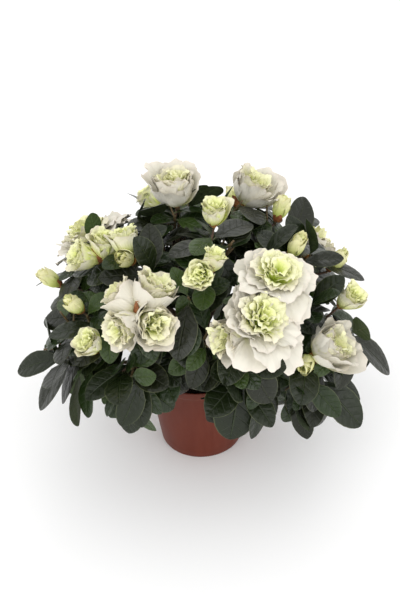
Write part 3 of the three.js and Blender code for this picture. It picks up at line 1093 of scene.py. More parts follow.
def tubes(centres: Array, radii: Array, sides: int) -> tuple[Array, Array, Array]:
    """Round tubes along lines of points, with closed ends.

    Each ring is centre + radius (cos a u + sin a v), with u and v square to the line.

    Args:
        centres: (N, K, 3) points along each line.
        radii: (N, K) or (N, K, sides) radii.
        sides: how many corners each ring has.

    Returns:
        Points, quads, and a UV for each corner: round the tube, and along it.
    """
    count, stations = centres.shape[:2]
    tangent = unit(np.gradient(centres, axis=1))
    mean = unit(centres[:, -1] - centres[:, 0])
    u0, _ = square_to(mean)
    u = unit(u0[:, None] - tangent * np.einsum("nk,nsk->ns", u0, tangent)[..., None])
    v = np.cross(tangent, u)
    turn = np.arange(sides) * 2 * np.pi / sides
    reach = radii[..., None] if radii.ndim == 2 else radii
    ring = np.cos(turn)[:, None] * u[:, :, None] + np.sin(turn)[:, None] * v[:, :, None]
    rings = centres[:, :, None] + ring * reach[..., None]
    points = np.concatenate([rings.reshape(count, -1, 3), centres[:, :1], centres[:, -1:]], 1)
    quads = closed_quads(stations, sides)
    run = np.concatenate([np.repeat(np.linspace(0, 1, stations), sides), [0, 1]])
    about = np.concatenate([np.tile(np.arange(sides) / sides, stations), [0.5, 0.5]])
    uv = np.stack([about, run], -1)[quads]
    everywhere = quads[None] + (np.arange(count) * (stations * sides + 2))[:, None, None]
    return points.reshape(-1, 3), everywhere.reshape(-1, 4), np.tile(uv, (count, 1, 1))


@dataclass(frozen=True)
class Shell:
    """The pattern of a thin blade: an upper and an under sheet that meet along its margin."""

    rows: int
    columns: int

    def grid(self) -> tuple[Array, Array]:
        """How far along, from 0 to 1, and across, from -1 to 1, every point of a sheet is."""
        places = np.linspace(0, 1, self.rows), np.linspace(-1, 1, self.columns)
        return tuple(place.ravel() for place in np.meshgrid(*places, indexing="ij"))

    def margin(self) -> Array:
        """Whether each point of a sheet is on the margin."""
        along, across = self.grid()
        return (along == 0) | (along == 1) | (np.abs(across) == 1)

    def faces(self) -> tuple[Array, Array]:
        """The faces of a sheet, and how to turn each over so that both sheets fold alike.

        Each corner of the blade is cut into two triangles that meet along the line to its corner
        point, because three points of that quad are on the margin.

        Returns:
            (F, 4) indices, and for each face the order in which the other sheet takes its corners.
        """
        quads = grid_quads(self.rows, self.columns)
        wide = self.columns - 1
        corners = np.array([0, wide - 1, len(quads) - wide, len(quads) - 1])
        turn = (np.array([0, 1, 3, 2])[:, None] + np.arange(4)) % 4
        a, b, c, d = np.take_along_axis(quads[corners], turn, 1).T
        triangles = np.concatenate([np.stack([a, b, c, c], 1), np.stack([a, c, d, d], 1)])
        quads = np.concatenate([np.delete(quads, corners, 0), triangles])
        over = np.tile([0, 3, 2, 1], (len(quads), 1))
        over[-len(triangles) :] = [0, 2, 1, 1]
        return quads, over

    def join(self, upper: Array, under: Array, tile: Array) -> tuple[Array, Array, Array, Array]:
        """Joins upper and under sheets of N blades along their margins.

        Args:
            upper: (N, rows * columns, 3) points.
            under: the same for the under sheets; its margin points aren't used.
            tile: (N, 2) the corner of each blade's tile of the UV square.

        Returns:
            Points, quads, UVs and whether each point is on the margin.
        """
        edge = self.margin()
        inner = ~edge
        whole = np.concatenate([upper, under[:, inner]], 1)
        place = np.arange(self.rows * self.columns)
        below = place.copy()
        below[inner] = len(place) + np.arange(inner.sum())
        top, over = self.faces()
        turned = np.take_along_axis(top, over, 1)
        quads = np.concatenate([top, below[turned]])
        along, across = self.grid()
        flat = np.stack([(across + 1) / 2, along], -1)
        span = [SHEET_SPAN, TILE_SPAN]
        upper_uv = flat[top] * span + [SHEET_EDGE, TILE_EDGE]
        under_uv = flat[turned] * span + [UNDER_EDGE, TILE_EDGE]
        uv = np.concatenate([upper_uv, under_uv])[None] + tile[:, None, None]
        count, each = whole.shape[:2]
        everywhere = quads[None] + (np.arange(count) * each)[:, None, None]
        marks = np.tile(np.concatenate([edge, np.zeros(inner.sum(), bool)]), count)
        return whole.reshape(-1, 3), everywhere.reshape(-1, 4), uv.reshape(-1, 4, 2), marks


# ---- finishes ----
Socket = bpy.types.NodeSocket
Colour = tuple[float, float, float]
Stretch = tuple[float, float, float]


class Finish:
    """A material under construction: its node tree and short ways to add to it."""

    def __init__(self, name: str) -> None:
        """Starts from a plain Principled surface.

        Args:
            name: what the material is called.
        """
        self.material = bpy.data.materials.new(name)
        self.material.use_nodes = True
        self.tree = self.material.node_tree
        self.surface = self.tree.nodes["Principled BSDF"]

    def node(self, kind: str, **settings: object) -> bpy.types.Node:
        """Adds a node and sets its properties.

        Args:
            kind: its type's own name.
            **settings: its properties.

        Returns:
            The node.
        """
        made = self.tree.nodes.new(kind)
        for key, value in settings.items():
            setattr(made, key, value)
        return made

    def link(self, output: Socket, target: Socket) -> None:
        """Joins an output to an input."""
        self.tree.links.new(output, target)

    def feed(self, target: Socket, value: Socket | Colour | float) -> None:
        """Gives an input what it reads.

        Args:
            target: the input.
            value: an output to join to it, or a colour or number to set it to.
        """
        if isinstance(value, bpy.types.NodeSocket):
            self.link(value, target)
        else:
            target.default_value = (*value, 1.0) if isinstance(value, tuple) else value

    def plain(self, **values: float | tuple) -> None:
        """Sets the surface's own sockets, with spaces written as underscores."""
        for key, value in values.items():
            self.surface.inputs[key.replace("_", " ")].default_value = value

    def sums(
        self, operation: str, a: Socket | float, b: Socket | float = 0.0, c: Socket | float = 0.0
    ) -> Socket:
        """One step of arithmetic.

        Args:
            operation: what is worked out.
            a: the first number, or an output to take it from.
            b: the second.
            c: the third.

        Returns:
            The result.
        """
        made = self.node("ShaderNodeMath", operation=operation)
        for socket, value in zip(made.inputs, (a, b, c)):
            self.feed(socket, value)
        return made.outputs[0]

    def step(
        self, value: Socket, low: float, high: float, to_low: float = 0.0, to_high: float = 1.0
    ) -> Socket:
        """A smooth step.

        Args:
            value: what it follows.
            low: the value up to which it gives to_low.
            high: the value from which it gives to_high.
            to_low: what it starts from.
            to_high: what it ends at.

        Returns:
            The result.
        """
        made = self.node("ShaderNodeMapRange", interpolation_type="SMOOTHSTEP")
        self.link(value, made.inputs["Value"])
        limits = {"From Min": low, "From Max": high, "To Min": to_low, "To Max": to_high}
        for key, number in limits.items():
            made.inputs[key].default_value = number
        return made.outputs["Result"]

    def mixed(
        self, share: Socket | float, first: Socket | Colour, second: Socket | Colour
    ) -> Socket:
        """A colour between two.

        Args:
            share: how much of the second it has.
            first: the colour at a share of 0.
            second: the colour at a share of 1.

        Returns:
            The colour.
        """
        made = self.node("ShaderNodeMix", data_type="RGBA")
        for place, value in ((0, share), (6, first), (7, second)):
            self.feed(made.inputs[place], value)
        return made.outputs[2]

    def noise(self, scale: float, detail: float, stretch: Stretch = (1.0, 1.0, 1.0)) -> Socket:
        """Noise on the object's own coordinates.

        Args:
            scale: how fine it is, in waves to a metre.
            detail: how many finer layers it has.
            stretch: how much finer it is along each axis.

        Returns:
            Its height, from 0 to 1.
        """
        place = self.node("ShaderNodeTexCoord").outputs["Object"]
        mapping = self.node("ShaderNodeMapping")
        mapping.inputs["Scale"].default_value = stretch
        self.link(place, mapping.inputs["Vector"])
        made = self.node("ShaderNodeTexNoise")
        made.inputs["Scale"].default_value = scale
        made.inputs["Detail"].default_value = detail
        made.inputs["Roughness"].default_value = 0.55
        self.link(mapping.outputs[0], made.inputs["Vector"])
        return made.outputs["Fac"]

    def blade_place(self) -> tuple[Socket, Socket, Socket]:
        """Where a point is on its blade, from its place in its tile of the UV square.

        Returns:
            How far along it is, how far across from -1 to 1, and 1 on the under side.
        """
        uv = self.node("ShaderNodeUVMap", uv_map=UV_NAME)
        split = self.node("ShaderNodeSeparateXYZ")
        self.link(uv.outputs[0], split.inputs[0])
        across = self.sums("FRACT", self.sums("MULTIPLY", split.outputs["X"], 8.0))
        along = self.sums("FRACT", self.sums("MULTIPLY", split.outputs["Y"], 4.0))
        half = self.sums("FRACT", self.sums("MULTIPLY", split.outputs["X"], 4.0))
        centred = self.sums("MULTIPLY_ADD", across, 2.17, -1.07)
        return along, centred, self.sums("GREATER_THAN", half, 0.5)

    def bump(self, height: Socket, strength: float, distance: float) -> None:
        """Relief from a height.

        Args:
            height: from 0 to 1.
            strength: how much of it shows.
            distance: how high it is at 1, in metres.
        """
        made = self.node("ShaderNodeBump")
        made.inputs["Strength"].default_value = strength
        made.inputs["Distance"].default_value = distance
        self.link(height, made.inputs["Height"])
        self.link(made.outputs[0], self.surface.inputs["Normal"])


@dataclass(frozen=True)
class LeafFinish:
    """Leathery leaf: dark glossy upper side with sunken veins, and a paler dull under side."""

    name: str
    face: Colour
    vein: Colour
    under: Colour
    margin: Colour = (0.105, 0.12, 0.055)

    def make(self) -> bpy.types.Material:
        """Builds the material: veins are thin bands of the place across and along the blade.

        Returns:
            The material.
        """
        f = Finish(self.name)
        along, across, under = f.blade_place()
        off = f.sums("ABSOLUTE", across)
        midrib = f.step(off, 0.015, 0.075, 1.0, 0.0)
        lean = f.sums("MULTIPLY_ADD", off, -1.15, f.sums("MULTIPLY", along, 7.5))
        wave = f.sums("ABSOLUTE", f.sums("MULTIPLY_ADD", f.sums("FRACT", lean), 2.0, -1.0))
        side_vein = f.sums("MULTIPLY", f.step(wave, 0.86, 0.985), f.step(off, 0.95, 0.6))
        veins = f.sums("MAXIMUM", midrib, f.sums("MULTIPLY", side_vein, 0.4))
        rim = f.step(off, 0.93, 0.985)
        tone = f.mixed(f.sums("MULTIPLY", veins, 0.6), self.face, self.vein)
        tone = f.mixed(f.step(off, 0.2, 0.9, 0.0, 0.35), tone, tuple(c * 1.5 for c in self.face))
        upper = f.mixed(f.sums("MULTIPLY", rim, 0.7), tone, self.margin)
        pale = tuple(c * 1.7 for c in self.under)
        lower = f.mixed(f.sums("MULTIPLY", veins, 0.8), self.under, pale)
        f.link(f.mixed(under, upper, lower), f.surface.inputs["Base Color"])
        f.link(f.sums("MULTIPLY_ADD", under, 0.26, 0.34), f.surface.inputs["Roughness"])
        f.plain(Specular_IOR_Level=0.36)
        quilt = f.sums("MULTIPLY", f.noise(170.0, 2.0), 1.6)
        pillow = f.sums("MULTIPLY_ADD", f.sums("SUBTRACT", 1.0, wave), 0.22, quilt)
        f.bump(f.sums("SUBTRACT", pillow, veins), 0.7, 0.0009)
        return f.material


@dataclass(frozen=True)
class PetalFinish:
    """Petal: its colour runs from its claw to its tip, with fine veins that fan out."""

    name: str
    claw: Colour
    tip: Colour
    start: float = 0.1
    end: float = 0.7
    blush: float = 0.0
    rose: Colour = (0.86, 0.55, 0.52)

    def make(self) -> bpy.types.Material:
        """Builds the material: a soft waxy surface.

        Returns:
            The material.
        """
        f = Finish(self.name)
        along, across, _ = f.blade_place()
        tone = f.mixed(f.step(along, self.start, self.end), self.claw, self.tip)
        if self.blush:
            rosy = f.sums("MULTIPLY", f.step(along, 0.8, 1.0), self.blush)
            tone = f.mixed(rosy, tone, self.rose)
        f.link(tone, f.surface.inputs["Base Color"])
        rays = f.sums("SINE", f.sums("MULTIPLY", across, 31.0))
        f.bump(f.sums("MULTIPLY", rays, f.step(along, 1.0, 0.6)), 0.25, 0.00025)
        f.plain(Roughness=0.55, Specular_IOR_Level=0.2)
        return f.material


@dataclass(frozen=True)
class PlainFinish:
    """A small part's single colour, with a faint mottle."""

    name: str
    colour: Colour
    other: Colour
    roughness: float = 0.6
    scale: float = 400.0
    stretch: Stretch = (1.0, 1.0, 1.0)
    relief: float = 0.0003

    def make(self) -> bpy.types.Material:
        """Builds the material from two tones of noise, which also gives its relief.

        Returns:
            The material.
        """
        f = Finish(self.name)
        grain = f.noise(self.scale, 5.0, self.stretch)
        tone = f.mixed(f.step(grain, 0.35, 0.65), self.colour, self.other)
        f.link(tone, f.surface.inputs["Base Color"])
        f.plain(Roughness=self.roughness)
        f.bump(grain, 0.6, self.relief)
        return f.material


@dataclass(frozen=True)
class PotFinish:
    """Matt moulded plastic: terracotta red in soft cloudy tones, with a fine grain."""

    name: str = "terracotta_plastic"
    colour: Colour = (0.112, 0.0165, 0.005)
    pale: Colour = (0.136, 0.0245, 0.010)

    def make(self) -> bpy.types.Material:
        """Builds the material: broad cloudy tones, a stipple, and drawn marks down the wall.

        Returns:
            The material.
        """
        f = Finish(self.name)
        cloud = f.noise(22.0, 3.0, (1.0, 1.0, 0.5))
        stipple = f.noise(1500.0, 2.0)
        drawn = f.noise(160.0, 3.0, (1.0, 1.0, 0.08))
        share = f.sums("MULTIPLY_ADD", drawn, 0.5, f.sums("MULTIPLY", cloud, 0.5))
        tone = f.mixed(f.step(share, 0.35, 0.68), self.colour, self.pale)
        f.link(tone, f.surface.inputs["Base Color"])
        f.link(f.step(cloud, 0.3, 0.7, 0.44, 0.56), f.surface.inputs["Roughness"])
        f.bump(f.sums("MULTIPLY_ADD", drawn, 0.4, stipple), 0.25, 0.0002)
        f.plain(Specular_IOR_Level=0.28)
        return f.material


# ---- the pieces ----
@dataclass
class Pot:
    """The nursery pot: a tapering moulded wall with a lip, and drain holes in its floor."""

    height: float
    rim: float
    foot: float = 36.5
    wall: float = 1.6
    floor: float = 2.2
    lip: float = 1.4
    lip_height: float = 9
    drains: int = 4
    drain_radius: float = 4
    drain_ring: float = 20
    drain_sides: int = 24
    bead: float = 0.8
    foot_round: float = 1.5
    sides: int = 144

    def radius(self, height: float) -> float:
        """The wall's outer radius at a height, without its lip."""
        return self.foot + (self.rim - self.foot) * height / self.height

    def profile(self) -> Array:
        """The wall's section: up the outside, over the lip's bead and down the inside.

        Returns:
            Radius and height of each of its points.
        """
        foot, wall, floor, bead = self.foot, self.wall, self.floor, self.bead
        low, lip_low = self.foot_round, self.height - self.lip_height
        under = self.radius(lip_low) - self.lip
        outside = [(foot - 1.4, 0), (foot - 0.5, 0.4), (foot, low)]
        for t in np.linspace(0.1, 0.94, 8):
            outside.append((foot + (under - foot) * t, low + (lip_low - low) * t))
        outside += [(under, lip_low - 0.5), (under + 0.15, lip_low - 0.1)]
        outside += [(under + self.lip * 0.7, lip_low + 0.5), (under + self.lip, lip_low + 1.3)]
        outside.append((self.rim - 0.35, self.height - 2.4))
        x, z = self.rim - bead, self.height - bead
        top = [(x + bead * math.cos(t), z + bead * math.sin(t)) for t in np.linspace(0, np.pi, 9)]
        inside = [(self.rim - wall, self.height - 3), (under - wall + 0.4, lip_low)]
        inside += [(foot - wall - 0.2, floor + 1.5), (foot - wall - 1.4, floor)]
        return np.array(outside + top + inside)

    def build(self) -> bpy.types.Object:
        """Turns the profile round the axis, closes its floor and cuts the drain holes.

        Returns:
            The pot.
        """
        profile = self.profile()
        turn = np.arange(self.sides) * 2 * np.pi / self.sides
        round_ = np.stack([np.cos(turn), np.sin(turn), np.zeros_like(turn)], -1)
        rings = profile[:, None, :1] * round_ + profile[:, None, 1:] * UP
        points = np.concatenate([rings.reshape(-1, 3), [[0, 0, 0], [0, 0, self.floor]]])
        patch = Patchwork("pot_shell")
        patch.add(points, closed_quads(len(profile), self.sides))
        piece = patch.build([PotFinish().make()], "pot", ["pot"])
        self.cut_drains(piece)
        piece.data.set_sharp_from_angle(angle=math.radians(40))
        return piece

    def cut_drains(self, piece: bpy.types.Object) -> None:
        """Cuts round holes through the floor, evenly round a ring.

        Args:
            piece: the pot.
        """
        turn = np.arange(self.drains) * 2 * np.pi / self.drains
        x, y = self.drain_ring * np.cos(turn), self.drain_ring * np.sin(turn)
        centres = np.stack([np.stack([x, y, np.full_like(x, z)], -1) for z in (-3.0, 7.0)], 1)
        radii = np.full((self.drains, 2), self.drain_radius)
        points, quads, _ = tubes(centres, radii, self.drain_sides)
        cutter = placed("drain_cutter", mesh_of("drain_cutter", points, quads))
        cut = piece.modifiers.new("drains", "BOOLEAN")
        cut.object, cut.operation, cut.solver = cutter, "DIFFERENCE", "EXACT"
        depsgraph = bpy.context.evaluated_depsgraph_get()
        cut_mesh = bpy.data.meshes.new_from_object(piece.evaluated_get(depsgraph))
        piece.modifiers.clear()
        piece.data = cut_mesh
        bpy.data.objects.remove(cutter)


@dataclass
class Compost:
    """Dark peat: a mounded crumbly surface, with loose crumbs and fibres on it."""

    pot: Pot
    edge: float
    crown: float
    rings: int = 46
    sides: int = 160
    gap: float = 0.75
    crumbs: int = 1500
    crumb_profile: tuple = (0.55, 1.0, 0.9, 0.5)
    crumb_sides: int = 5
    fibres: float = 0.35

    def surface_height(self, x: Array, y: Array) -> Array:
        """The mound's height: a cosine from its crown to its edge, with lumps and grit.

        Args:
            x: how far to the right.
            y: how far to the back.

        Returns:
            Its height there.
        """
        radius = self.pot.radius(self.edge) - self.pot.wall - 0.7
        share = np.clip(np.hypot(x, y) / radius, 0, 1)
        mound = self.edge + (self.crown - self.edge) * (0.5 + 0.5 * np.cos(np.pi * share**1.6))
        lumps = np.sin(x * 0.41 + 1.3 * np.sin(y * 0.23)) * np.sin(y * 0.37 + 1.1 * np.sin(x * 0.19))
        grit = np.sin(x * 1.7 + 2 * np.sin(y * 0.9)) * np.sin(y * 1.9 + 2 * np.sin(x * 1.1))
        return mound + 0.7 * lumps * (1 - share**6) + 0.32 * grit

    def build(self) -> None:
        """The body of compost that fills the pot, then the crumbs on it."""
        peat, light_peat = (0.010, 0.006, 0.004), (0.042, 0.023, 0.014)
        soil = PlainFinish("peat", peat, light_peat, 0.95, 900.0, relief=0.0012)
        pot, turn = self.pot, np.arange(self.sides) * 2 * np.pi / self.sides
        wide = pot.radius(self.edge) - pot.wall - self.gap
        radii = wide * np.linspace(1, 0, self.rings + 1)[:-1]
        x, y = radii[:, None] * np.cos(turn), radii[:, None] * np.sin(turn)
        top = np.stack([x, y, self.surface_height(x, y)], -1)
        low, floor = pot.height - pot.lip_height, pot.floor + 0.4
        sides = [(pot.foot - pot.wall - 1.2, floor), (pot.radius(low) - pot.lip - pot.wall - 0.4, low)]
        wall = [[r * np.cos(turn), r * np.sin(turn), np.full_like(turn, z)] for r, z in sides]
        rings = np.concatenate([np.array(wall).transpose(0, 2, 1), top])
        points = np.concatenate([rings.reshape(-1, 3), [[0, 0, floor], [0, 0, self.crown]]])
        patch = Patchwork("compost_body")
        patch.add(points, closed_quads(len(rings), self.sides))
        patch.build([soil.make()], "compost", ["compost"])
        self.scatter(wide - 1.5)

    def scatter(self, wide: float) -> None:
        """Crumbs and short fibres of peat: squashed tubes that lie at all angles on the surface.

        Args:
            wide: the radius that they are strewn over.
        """
        rng = np.random.default_rng(7)
        count = self.crumbs
        radius, turn = wide * np.sqrt(rng.random(count)), rng.random(count) * 2 * np.pi
        x, y = radius * np.cos(turn), radius * np.sin(turn)
        fibre = rng.random(count) < self.fibres
        long = np.where(fibre, rng.uniform(1.5, 5, count), rng.uniform(0.5, 1.7, count))
        thick = np.where(fibre, rng.uniform(0.12, 0.3, count), rng.uniform(0.5, 1.3, count))
        about, tilt = rng.random(count) * 2 * np.pi, rng.uniform(-0.35, 0.35, count)
        way = np.stack([np.cos(about) * np.cos(tilt), np.sin(about) * np.cos(tilt), np.sin(tilt)], -1)
        middle = np.stack([x, y, self.surface_height(x, y) + thick * 0.3], -1)
        share = np.linspace(-1, 1, len(self.crumb_profile))
        centres = middle[:, None] + way[:, None] * (share * long[:, None] / 2)[..., None]
        profile = np.array(self.crumb_profile) * thick[:, None] / 2
        uneven = rng.uniform(0.7, 1.3, (*profile.shape, self.crumb_sides))
        points, quads, uv = tubes(centres, profile[..., None] * uneven, self.crumb_sides)
        tone = np.repeat(rng.choice(3, count, p=[0.5, 0.35, 0.15]), len(quads) // count)
        patch = Patchwork("compost_crumbs")
        patch.add(points, quads, in_tile(uv, tone), tone)
        tones = [
            PlainFinish("peat_dark", (0.012, 0.007, 0.005), (0.03, 0.017, 0.011), 0.95),
            PlainFinish("peat_brown", (0.05, 0.027, 0.016), (0.085, 0.046, 0.027), 0.95),
            PlainFinish("peat_fibre", (0.13, 0.075, 0.042), (0.19, 0.115, 0.065), 0.9),
        ]
        patch.build([tone.make() for tone in tones], "compost", [])


@dataclass
class Wood:
    """Stem, boughs and twigs: ridged bark on the old wood, smooth brown or green on the young."""

    growth: Growth
    stem_heights: tuple = (0.0, 1.5, 3.5, 8.0, 14.0, 20.0, 28.0, 34.0)
    stem_radii: tuple = (9.4, 8.2, 7.0, 6.2, 5.9, 5.5, 5.0, 4.4)
    stem_relief: float = 0.045
    stem_end: tuple = (0.93, 0.8, 0.5)
    bough_radii: tuple = (2.9, 1.9)
    knuckle_radii: tuple = (1.88, 1.55)
    bough_relief: float = 0.05
    bough_end: float = 0.6
    overlap: float = 0.06
    stem_rings: int = 44
    stem_sides: int = 28
    bough_rings: int = 24
    knuckle_rings: int = 7
    bough_sides: int = 14
    twig_rings: int = 9
    twig_sides: int = 6
    stalk_sides: int = 8
    buried: float = 1.0

    def relief(self, radii: Array, sides: int, seed: int, depth: float) -> Array:
        """Bark relief: sums of sines round the limb that wander along it, and a random grain.

        Args:
            radii: (N, K) along each limb.
            sides: how many points go round it.
            seed: where its random numbers start.
            depth: how deep it is, as a share of the radius.

        Returns:
            (N, K, sides) radii.
        """
        rng = np.random.default_rng(seed)
        run = np.arange(radii.shape[1])[:, None]
        turn = np.arange(sides)[None] * 2 * np.pi / sides
        shape = np.zeros((radii.shape[0], radii.shape[1], sides))
        for i in range(radii.shape[0]):
            for waves in (3, 5, 8, 11):
                phase, drift, beat = rng.random(3) * FULL_TURN
                wander = np.sin(run * (0.12 + 0.1 * drift / FULL_TURN) + beat)
                shape[i] += np.sin(waves * turn + phase + 1.5 * wander) / waves**0.6
            shape[i] += 0.5 * rng.standard_normal((radii.shape[1], sides)) * 0.6
        return radii[..., None] * (1 + depth * shape)

    def build(self) -> None:
        """The old wood, which replaces stem and boughs, and then the twigs."""
        growth, sides = self.growth, self.stem_sides
        tones = (0.055, 0.032, 0.020), (0.15, 0.095, 0.062)
        bark = PlainFinish("bark", *tones, 0.88, 650.0, (1, 1, 0.35), 0.0008)
        share = np.linspace(0, 1, self.stem_rings)
        foot = growth.soil_crown
        heights = share * (growth.stem_top - foot - self.buried) + foot - self.buried
        line = np.array([growth.stem_point(z) for z in heights])
        radius = np.interp(heights - foot, self.stem_heights, self.stem_radii)[None]
        radius[:, -len(self.stem_end) :] *= np.array(self.stem_end)
        old = Patchwork("stem_and_boughs")
        old.add(*tubes(line[None], self.relief(radius, sides, 5, self.stem_relief), sides))
        lines, sides = [], self.bough_sides
        for mass, corners in zip(growth.masses, growth.bough_corners):
            first = bezier(corners, np.linspace(0, 1, self.bough_rings))
            on = np.linspace(0, 1 + self.overlap, self.knuckle_rings + 1)[1:, None]
            lines.append(np.concatenate([first, mass.foot + (mass.knuckle - mass.foot) * on]))
        bough = np.linspace(*self.bough_radii, self.bough_rings)
        thinning = np.concatenate([bough, np.linspace(*self.knuckle_radii, self.knuckle_rings)])
        radii = np.tile(thinning, (len(lines), 1))
        radii = self.relief(radii, sides, 9, self.bough_relief)
        radii[:, -1] *= self.bough_end
        old.add(*tubes(np.array(lines), radii, sides))
        masses = [mass.name for mass in growth.masses]
        old.build([bark.make()], "bark", ["stem", *[f"bough_{name}" for name in masses]])
        self.twigs()

    def twigs(self) -> None:
        """The twigs, tapering from each knuckle to its heads, and a stalk under each bloom."""
        growth, sides = self.growth, self.twig_sides
        shoots = [shoot for mass in growth.masses for shoot in mass.shoots]
        share = np.linspace(0, 1, self.twig_rings)
        lines = np.array([bezier(shoot.corners, share) for shoot in shoots])
        thick = gathered(shoots, "thick")
        radii = (thick * 0.82)[:, None] * (1 - 0.32 * share) + 0.1
        uneven = np.random.default_rng(3).standard_normal((*radii.shape, sides))
        patch = Patchwork("twigs")
        points, quads, uv = tubes(lines, radii[..., None] * (1 + 0.05 * uneven), sides)
        young = np.repeat((thick < 1.35).astype(int), len(quads) // len(shoots))
        patch.add(points, quads, in_tile(uv, young), young)
        base, axis = gathered(growth.flowers, "base"), gathered(growth.flowers, "axis")
        stalk = base[:, None] + axis[:, None] * np.linspace(-growth.pedicel - 0.6, 2.5, 5)[:, None]
        radii = np.tile([1.15, 1.0, 1.05, 1.3, 1.5], (len(base), 1))
        points, quads, uv = tubes(stalk, radii, self.stalk_sides)
        patch.add(points, quads, in_tile(uv, 1), 1)
        finishes = [
            PlainFinish("twig_brown", (0.050, 0.026, 0.016), (0.10, 0.055, 0.032), 0.75, 500.0).make(),
            PlainFinish("twig_green", (0.075, 0.062, 0.022), (0.13, 0.078, 0.034), 0.6, 500.0).make(),
        ]
        patch.build(finishes, "bark", [])


@dataclass
class Leaves:
    """Every leaf of the plant, each on its stalk, closed and slightly thick."""

    growth: Growth
    shell: Shell = Shell(10, 7)
    thickness: float = 0.45
    stalk: float = 0.09
    neck: float = 0.22
    narrowest: float = 0.3
    margin_thickness: float = 0.02
    stalk_radii: tuple = (0.75, 0.6, 0.55, 0.3)
    stalk_sides: int = 5
    freshest_stalk: int = 2

    # the upper side, the veins and the under side of each finish
    greens: tuple[LeafFinish, ...] = (
        LeafFinish("leaf_dark", (0.0090, 0.0115, 0.0038), (0.026, 0.032, 0.013), (0.036, 0.052, 0.018)),
        LeafFinish("leaf_deep", (0.0085, 0.0140, 0.0034), (0.028, 0.042, 0.013), (0.040, 0.063, 0.018)),
        LeafFinish("leaf_green", (0.0125, 0.0255, 0.0045), (0.040, 0.066, 0.015), (0.055, 0.090, 0.024)),
        LeafFinish("leaf_young", (0.0280, 0.0520, 0.0085), (0.072, 0.113, 0.023), (0.080, 0.122, 0.030)),
    )

    def build(self) -> None:
        """Places the blades of each mass in one piece that replaces the mass."""
        finishes = [green.make() for green in self.greens]
        for mass in self.growth.masses:
            patch = Patchwork(f"leaves_{mass.name}")
            self.blades(patch, mass.leaves)
            self.stalks(patch, mass.leaves)
            patch.build(finishes, "foliage", [f"foliage_{mass.name}"])

    def blades(self, patch: Patchwork, leaves: list[Leaf]) -> None:
        """Blades on a grid: each bends along an arc, folds up along its midrib, twists and waves.

        Its half width is a sine to the power 0.62 that narrows towards the stalk.

        Args:
            patch: the mesh that they go into.
            leaves: the leaves of one mass.
        """
        along, across = self.shell.grid()
        along = np.sin(np.pi / 2 * along)
        run = self.stalk + (1 - self.stalk) * along
        rng = np.random.default_rng(len(leaves))
        count = len(leaves)
        fields = "root", "way", "normal", "side", "length", "width", "bend"
        root, way, normal, side, length, width, bend = (
            gathered(leaves, name)[:, None] for name in fields
        )
        turned = np.maximum(bend * run, LEAST_BEND)
        forward = length * run * np.sin(turned) / turned
        drop = length * run * (1 - np.cos(turned)) / turned
        half = width / 2 * np.maximum(0, np.sin(np.pi * run**1.3)) ** 0.62
        opened = 0.2 + 0.8 * np.minimum(1, (run - self.stalk) / self.neck)
        half = np.maximum(half * opened, self.narrowest)
        lifted = normal * np.cos(turned)[..., None] + way * np.sin(turned)[..., None]
        fold = rng.uniform(0.08, 0.24, (count, 1)) * np.abs(across) - 0.10 * across**4
        twist = rng.uniform(-0.16, 0.16, (count, 1)) * across * run
        wave_height = rng.uniform(0.0, 0.05, (count, 1))
        waves = run * rng.uniform(9, 15, (count, 1)) + rng.uniform(0, 6, (count, 1))
        wave = wave_height * np.sin(waves)
        height = half * (fold + twist + wave * np.abs(across))
        middle = root + way * forward[..., None] - normal * drop[..., None]
        upper = middle + side * (across * half)[..., None] + lifted * height[..., None]
        thick = self.thickness * (1 - across**2) * np.minimum(1, 6 * (1 - along))
        thick = thick + self.margin_thickness
        under = upper - lifted * (thick * np.ones((count, 1)))[..., None]
        tint = gathered(leaves, "tint")
        points, quads, uv, margin = self.shell.join(upper, under, tile_of(tint))
        patch.add(points, quads, uv, np.repeat(tint, len(quads) // count), margin)

    def stalks(self, patch: Patchwork, leaves: list[Leaf]) -> None:
        """A short stalk from the twig to each blade.

        Args:
            patch: the mesh that they go into.
            leaves: the leaves of one mass.
        """
        run = np.linspace(-0.01, self.stalk + 0.05, len(self.stalk_radii)).clip(0)
        middles = [leaf.points(run, np.zeros_like(run)) - leaf.normal * 0.35 for leaf in leaves]
        radii = np.tile(self.stalk_radii, (len(leaves), 1))
        points, quads, uv = tubes(np.array(middles), radii, self.stalk_sides)
        tint = np.maximum(self.freshest_stalk, gathered(leaves, "tint"))
        tint = np.repeat(tint, len(quads) // len(leaves))
        beside = uv * [STALK_SPAN, TILE_SPAN] + [STALK_EDGE, TILE_EDGE]
        patch.add(points, quads, beside + tile_of(tint)[:, None], tint)


@dataclass(frozen=True)
class Whorl:
    """A ring of like petals, in mm on a bloom of full size.

    A petal leaves the axis at the angle first and turns to the angle last over seven tenths of its
    length. From six tenths on it flares out by the angle flare. Angles are degrees off the axis. A
    lopsided whorl has longer petals where the bloom has most room, and a loose one is untidy.
    """

    count: int
    length: float
    width: float
    first: float
    last: float
    flare: float
    frill: float
    waves: float
    finish: int
    rise: float = 0.0
    cup: float = 0.2
    claw: float = 0.32
    turn: float = 0.0
    lopsided: float = 0.0
    loose: float = 0.1


